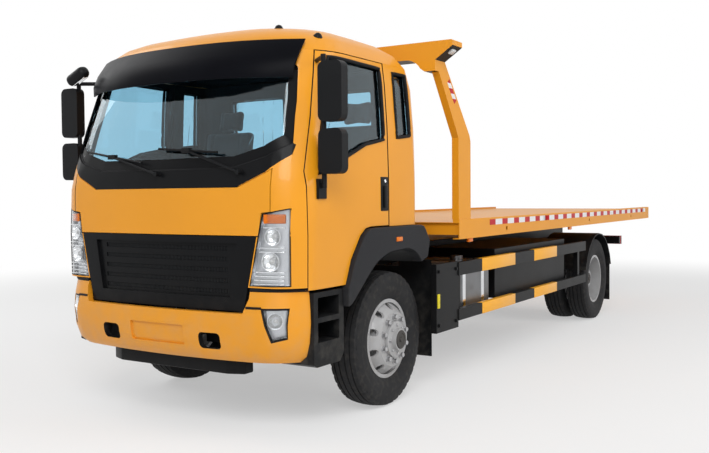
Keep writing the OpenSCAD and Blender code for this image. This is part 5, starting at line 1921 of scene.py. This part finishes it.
@dataclass
class Seats:
    """Two padded seats on their plinths."""

    truck: Truck
    middles: Sequence[float] = (0.65, -0.65)
    width: float = 0.52
    front: float = -0.33
    base_z: float = 1.46
    plinth_in: float = 0.03
    plinth_y: Pair = (0.02, 0.46)
    plinth_gap: float = 0.004
    plinth_edge: float = 0.015
    base: Size = (0.52, 0.5, 0.11)
    base_at: Pair = (0.25, 1.515)
    back: Size = (0.52, 0.1, 0.6)
    back_at: Pair = (0.525, 1.862)
    back_lean: float = -8.5
    head: Size = (0.26, 0.08, 0.19)
    head_at: Pair = (0.582, 2.245)
    head_lean: float = -10.0
    corner: float = 0.32
    swell: float = 0.008
    cap: float = 0.012
    voxel: float = 0.012
    pressure: float = 4.0
    frames: int = 20
    seam: float = 0.56
    seam_w: float = 0.009
    seam_depth: float = 0.007

    def build(self) -> None:
        """Makes the plinths and the cushions."""
        plinth = Mould()
        half = self.width / 2
        near, far = self.plinth_y
        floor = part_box("seats")[0][2]
        for x in self.middles:
            low = self.truck.at(x - half + self.plinth_in, self.front + near, floor)
            high = self.truck.at(x + half - self.plinth_in, self.front + far, self.base_z - self.plinth_gap)
            plinth.box(low, high, self.plinth_edge)
        plinth.piece("seat_plinths", GREY, "chassis", replaces=["seats"])
        for x, word in zip(self.middles, ("left", "right")):
            for part, (y, z), size, lean in (("base", self.base_at, self.base, 0.0),
                                             ("back", self.back_at, self.back, self.back_lean),
                                             ("head", self.head_at, self.head, self.head_lean)):
                self.cushion(f"seat_{part}_{word}", (x, self.front + y, z), size, lean)

    def cushion(self, name: str, middle: Point, size: Point, lean: float) -> None:
        """Makes a crowned cushion with pulled-in sides.

        Args:
            name: The piece's name.
            middle: Where it is, with y from the front axle.
            size: Its three sides.
            lean: Angle in degrees by which it leans back.
        """
        half = Vector(size) / 2
        shrunk = Vector(size) - Vector((1.0, 1.0, 1.0)) * (2.0 * self.swell)
        mould = Mould()
        mould.box(-shrunk / 2, shrunk / 2, min(shrunk) * self.corner, 4)
        pad = self.swollen(mould)
        thin = min(range(3), key=lambda axis: half[axis])
        pad.mesh.normal_update()
        for vertex in pad.mesh.verts:
            groove = math.exp(-((abs(vertex.co.x) - half.x * self.seam) / self.seam_w) ** 2)
            if abs(vertex.normal[thin]) > 0.5:
                vertex.co -= vertex.normal * (self.seam_depth * groove)
        place = Matrix.Translation(self.truck.at(*middle)) @ Matrix.Rotation(math.radians(lean), 4, "X")
        bmesh.ops.transform(pad.mesh, matrix=place, verts=pad.mesh.verts[:])
        made = pad.piece(name, CLOTH, "chassis", sharp=80.0)
        rounding = made.modifiers.new("pad", "SUBSURF")
        rounding.levels = 1
        rounding.render_levels = 1

    def settled(self, pad: bpy.types.Object) -> bpy.types.Mesh:
        """The pad's mesh with its modifiers."""
        graph = bpy.context.evaluated_depsgraph_get()
        return bpy.data.meshes.new_from_object(pad.evaluated_get(graph))

    def swollen(self, mould: Mould) -> Mould:
        """Swells a pad as stuffed cloth does.

        Args:
            mould: The slack pad.

        Returns:
            The full one.
        """
        mesh = bpy.data.meshes.new("slack_pad")
        mould.mesh.to_mesh(mesh)
        mould.mesh.free()
        pad = bpy.data.objects.new("slack_pad", mesh)
        bpy.context.scene.collection.objects.link(pad)
        voxels = pad.modifiers.new("voxels", "REMESH")
        voxels.mode = "VOXEL"
        voxels.voxel_size = self.voxel
        start = self.settled(pad)
        pad.modifiers.clear()
        pad.data = start
        cloth = pad.modifiers.new("swell", "CLOTH")
        cloth.settings.use_pressure = True
        cloth.settings.uniform_pressure_force = self.pressure
        cloth.settings.effector_weights.gravity = 0.0
        cloth.settings.quality = 5
        cloth.point_cache.frame_start = 1
        cloth.point_cache.frame_end = self.frames
        for frame in range(1, self.frames + 1):
            bpy.context.scene.frame_set(frame)
        end = self.settled(pad)
        for before, after in zip(start.vertices, end.vertices):
            move = after.co - before.co
            before.co += move * min(1.0, self.cap / max(move.length, 1e-9))
        bpy.context.scene.frame_set(1)
        full = Mould()
        full.mesh.from_mesh(start)
        bpy.data.objects.remove(pad)
        return full


@dataclass
class Studio:
    """Floor, light, background and camera."""

    truck: Truck
    photo: Tuple[int, int] = (709, 453)
    focal_px: float = 845.52
    sensor: float = 36.0
    eye: Size = (4.2133, -5.5257, 1.5894)
    yaw: float = 0.5574
    pitch: float = 0.0365
    roll: float = -0.0082
    fill: float = 0.38
    floor_rings: Sequence[float] = (0.0, 4.0, 8.0, 14.0, 24.0, 40.0, 70.0)
    floor_drop: float = 0.001
    fade: Pair = (6.5, 13.0)
    paper: Sequence[Colour] = ((0.9, 0.9, 0.9), (0.93, 0.93, 0.93))
    haze: float = 0.45
    view_end: float = 400.0
    lamp_side: float = 7.0
    lamp_target: Size = (0.0, -1.2, 1.2)
    lamps: Sequence[Tuple[str, Size, float]] = (("key_light", (7.0, -13.0, 9.0), 0.46),
                                                ("side_light", (13.0, 2.0, 7.0), 0.27),
                                                ("far_light", (-10.0, -4.0, 8.0), 0.22))

    def build(self) -> None:
        """Sets the scene round the truck."""
        self.camera()
        self.world()
        self.floor()
        for name, place, level in self.lamps:
            self.lamp(name, place, level)
        bpy.context.scene.view_settings.view_transform = "Standard"

    def camera(self) -> None:
        """Puts the camera where the photograph was taken."""
        level = math.cos(self.pitch)
        forward = Vector((-math.sin(self.yaw) * level, math.cos(self.yaw) * level, -math.sin(self.pitch)))
        right = Vector((math.cos(self.yaw), math.sin(self.yaw), 0.0))
        up = right.cross(forward)
        c, s = math.cos(self.roll), math.sin(self.roll)
        across = c * right + s * up
        upright = c * up - s * right
        data = bpy.data.cameras.new("photo_camera")
        data.sensor_width = self.sensor
        data.lens = self.focal_px / self.photo[0] * self.sensor
        data.clip_end = self.view_end
        made = bpy.data.objects.new("photo_camera", data)
        turn = Matrix((across, upright, -forward)).transposed().to_4x4()
        made.matrix_world = Matrix.Translation(self.truck.at(*self.eye)) @ turn
        bpy.context.scene.collection.objects.link(made)
        bpy.context.scene.camera = made

    def world(self) -> None:
        """Lights softly from all round, and shows white."""
        world = bpy.data.worlds.new("studio")
        world.use_nodes = True
        desk = Desk(world.node_tree)
        seen = self.seen(desk)
        strength = self.fill + seen * (1.0 - self.fill)
        sky = desk.add("Background", {"Color": (1.0, 1.0, 1.0, 1.0), "Strength": strength})
        desk.add("OutputWorld", {"Surface": sky})
        bpy.context.scene.world = world

    def seen(self, desk: Desk) -> Sock:
        """1 for rays that show the background."""
        path = [desk.add("LightPath", out=name) for name in
                ("Is Camera Ray", "Is Glossy Ray", "Is Transmission Ray")]
        return (path[0] + path[1] + path[2]).ramp(0.0, 1.0)

    def floor(self) -> None:
        """Lays a pale floor that fades to white."""
        mould = Mould()
        mould.lathe([(0.0, radius) for radius in self.floor_rings], Matrix.Identity(4), 64)
        mesh = bpy.data.meshes.new("floor")
        mould.mesh.to_mesh(mesh)
        mould.mesh.free()
        material = bpy.data.materials.new("floor_paper")
        material.use_nodes = True
        desk = Desk(material.node_tree)
        far = desk.add("VectorMath", {0: desk.place}, out="Value", operation="LENGTH").ramp(*self.fade)
        paper = desk.add("BsdfDiffuse", {"Color": desk.mix(desk.noise(40.0, 3.0), *self.paper)})
        white = desk.add("Emission", {"Color": (1.0, 1.0, 1.0, 1.0), "Strength": 1.0})
        veil = far * (1.0 - self.haze) + self.haze
        desk.output(desk.add("MixShader", {0: veil * self.seen(desk), 1: paper, 2: white}))
        mesh.materials.append(material)
        floor = bpy.data.objects.new("floor", mesh)
        floor.location.z = -self.floor_drop
        bpy.context.scene.collection.objects.link(floor)
        floor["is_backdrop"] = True

    def lamp(self, name: str, place: Point, level: float) -> None:
        """Adds a square soft light aimed at the truck.

        Args:
            name: Of the lamp.
            place: Where it stands.
            level: Light that it gives at the truck, where 1 shows a colour as written.
        """
        data = bpy.data.lights.new(name, "AREA")
        data.shape = "SQUARE"
        data.size = self.lamp_side
        way = Vector(self.lamp_target) - Vector(place)
        data.energy = level * math.pi * math.pi * way.length_squared
        made = bpy.data.objects.new(name, data)
        made.location = place
        made.rotation_euler = way.to_track_quat("-Z", "Y").to_euler()
        bpy.context.scene.collection.objects.link(made)


def main() -> None:
    """Builds the truck's pieces in order and keeps its box."""
    logging.basicConfig(level=logging.INFO, format="%(name)s: %(message)s")
    truck = Truck()
    Studio(truck).build()
    Coachwork(truck).dress()
    Glazing(truck).build()
    Lamps(truck).build()
    Tyres(truck).build()
    CabDetails(truck).build()
    BedDetails(truck).build()
    Underframe(truck).build()
    Seats(truck).build()


if __name__ == "__main__":
    main()
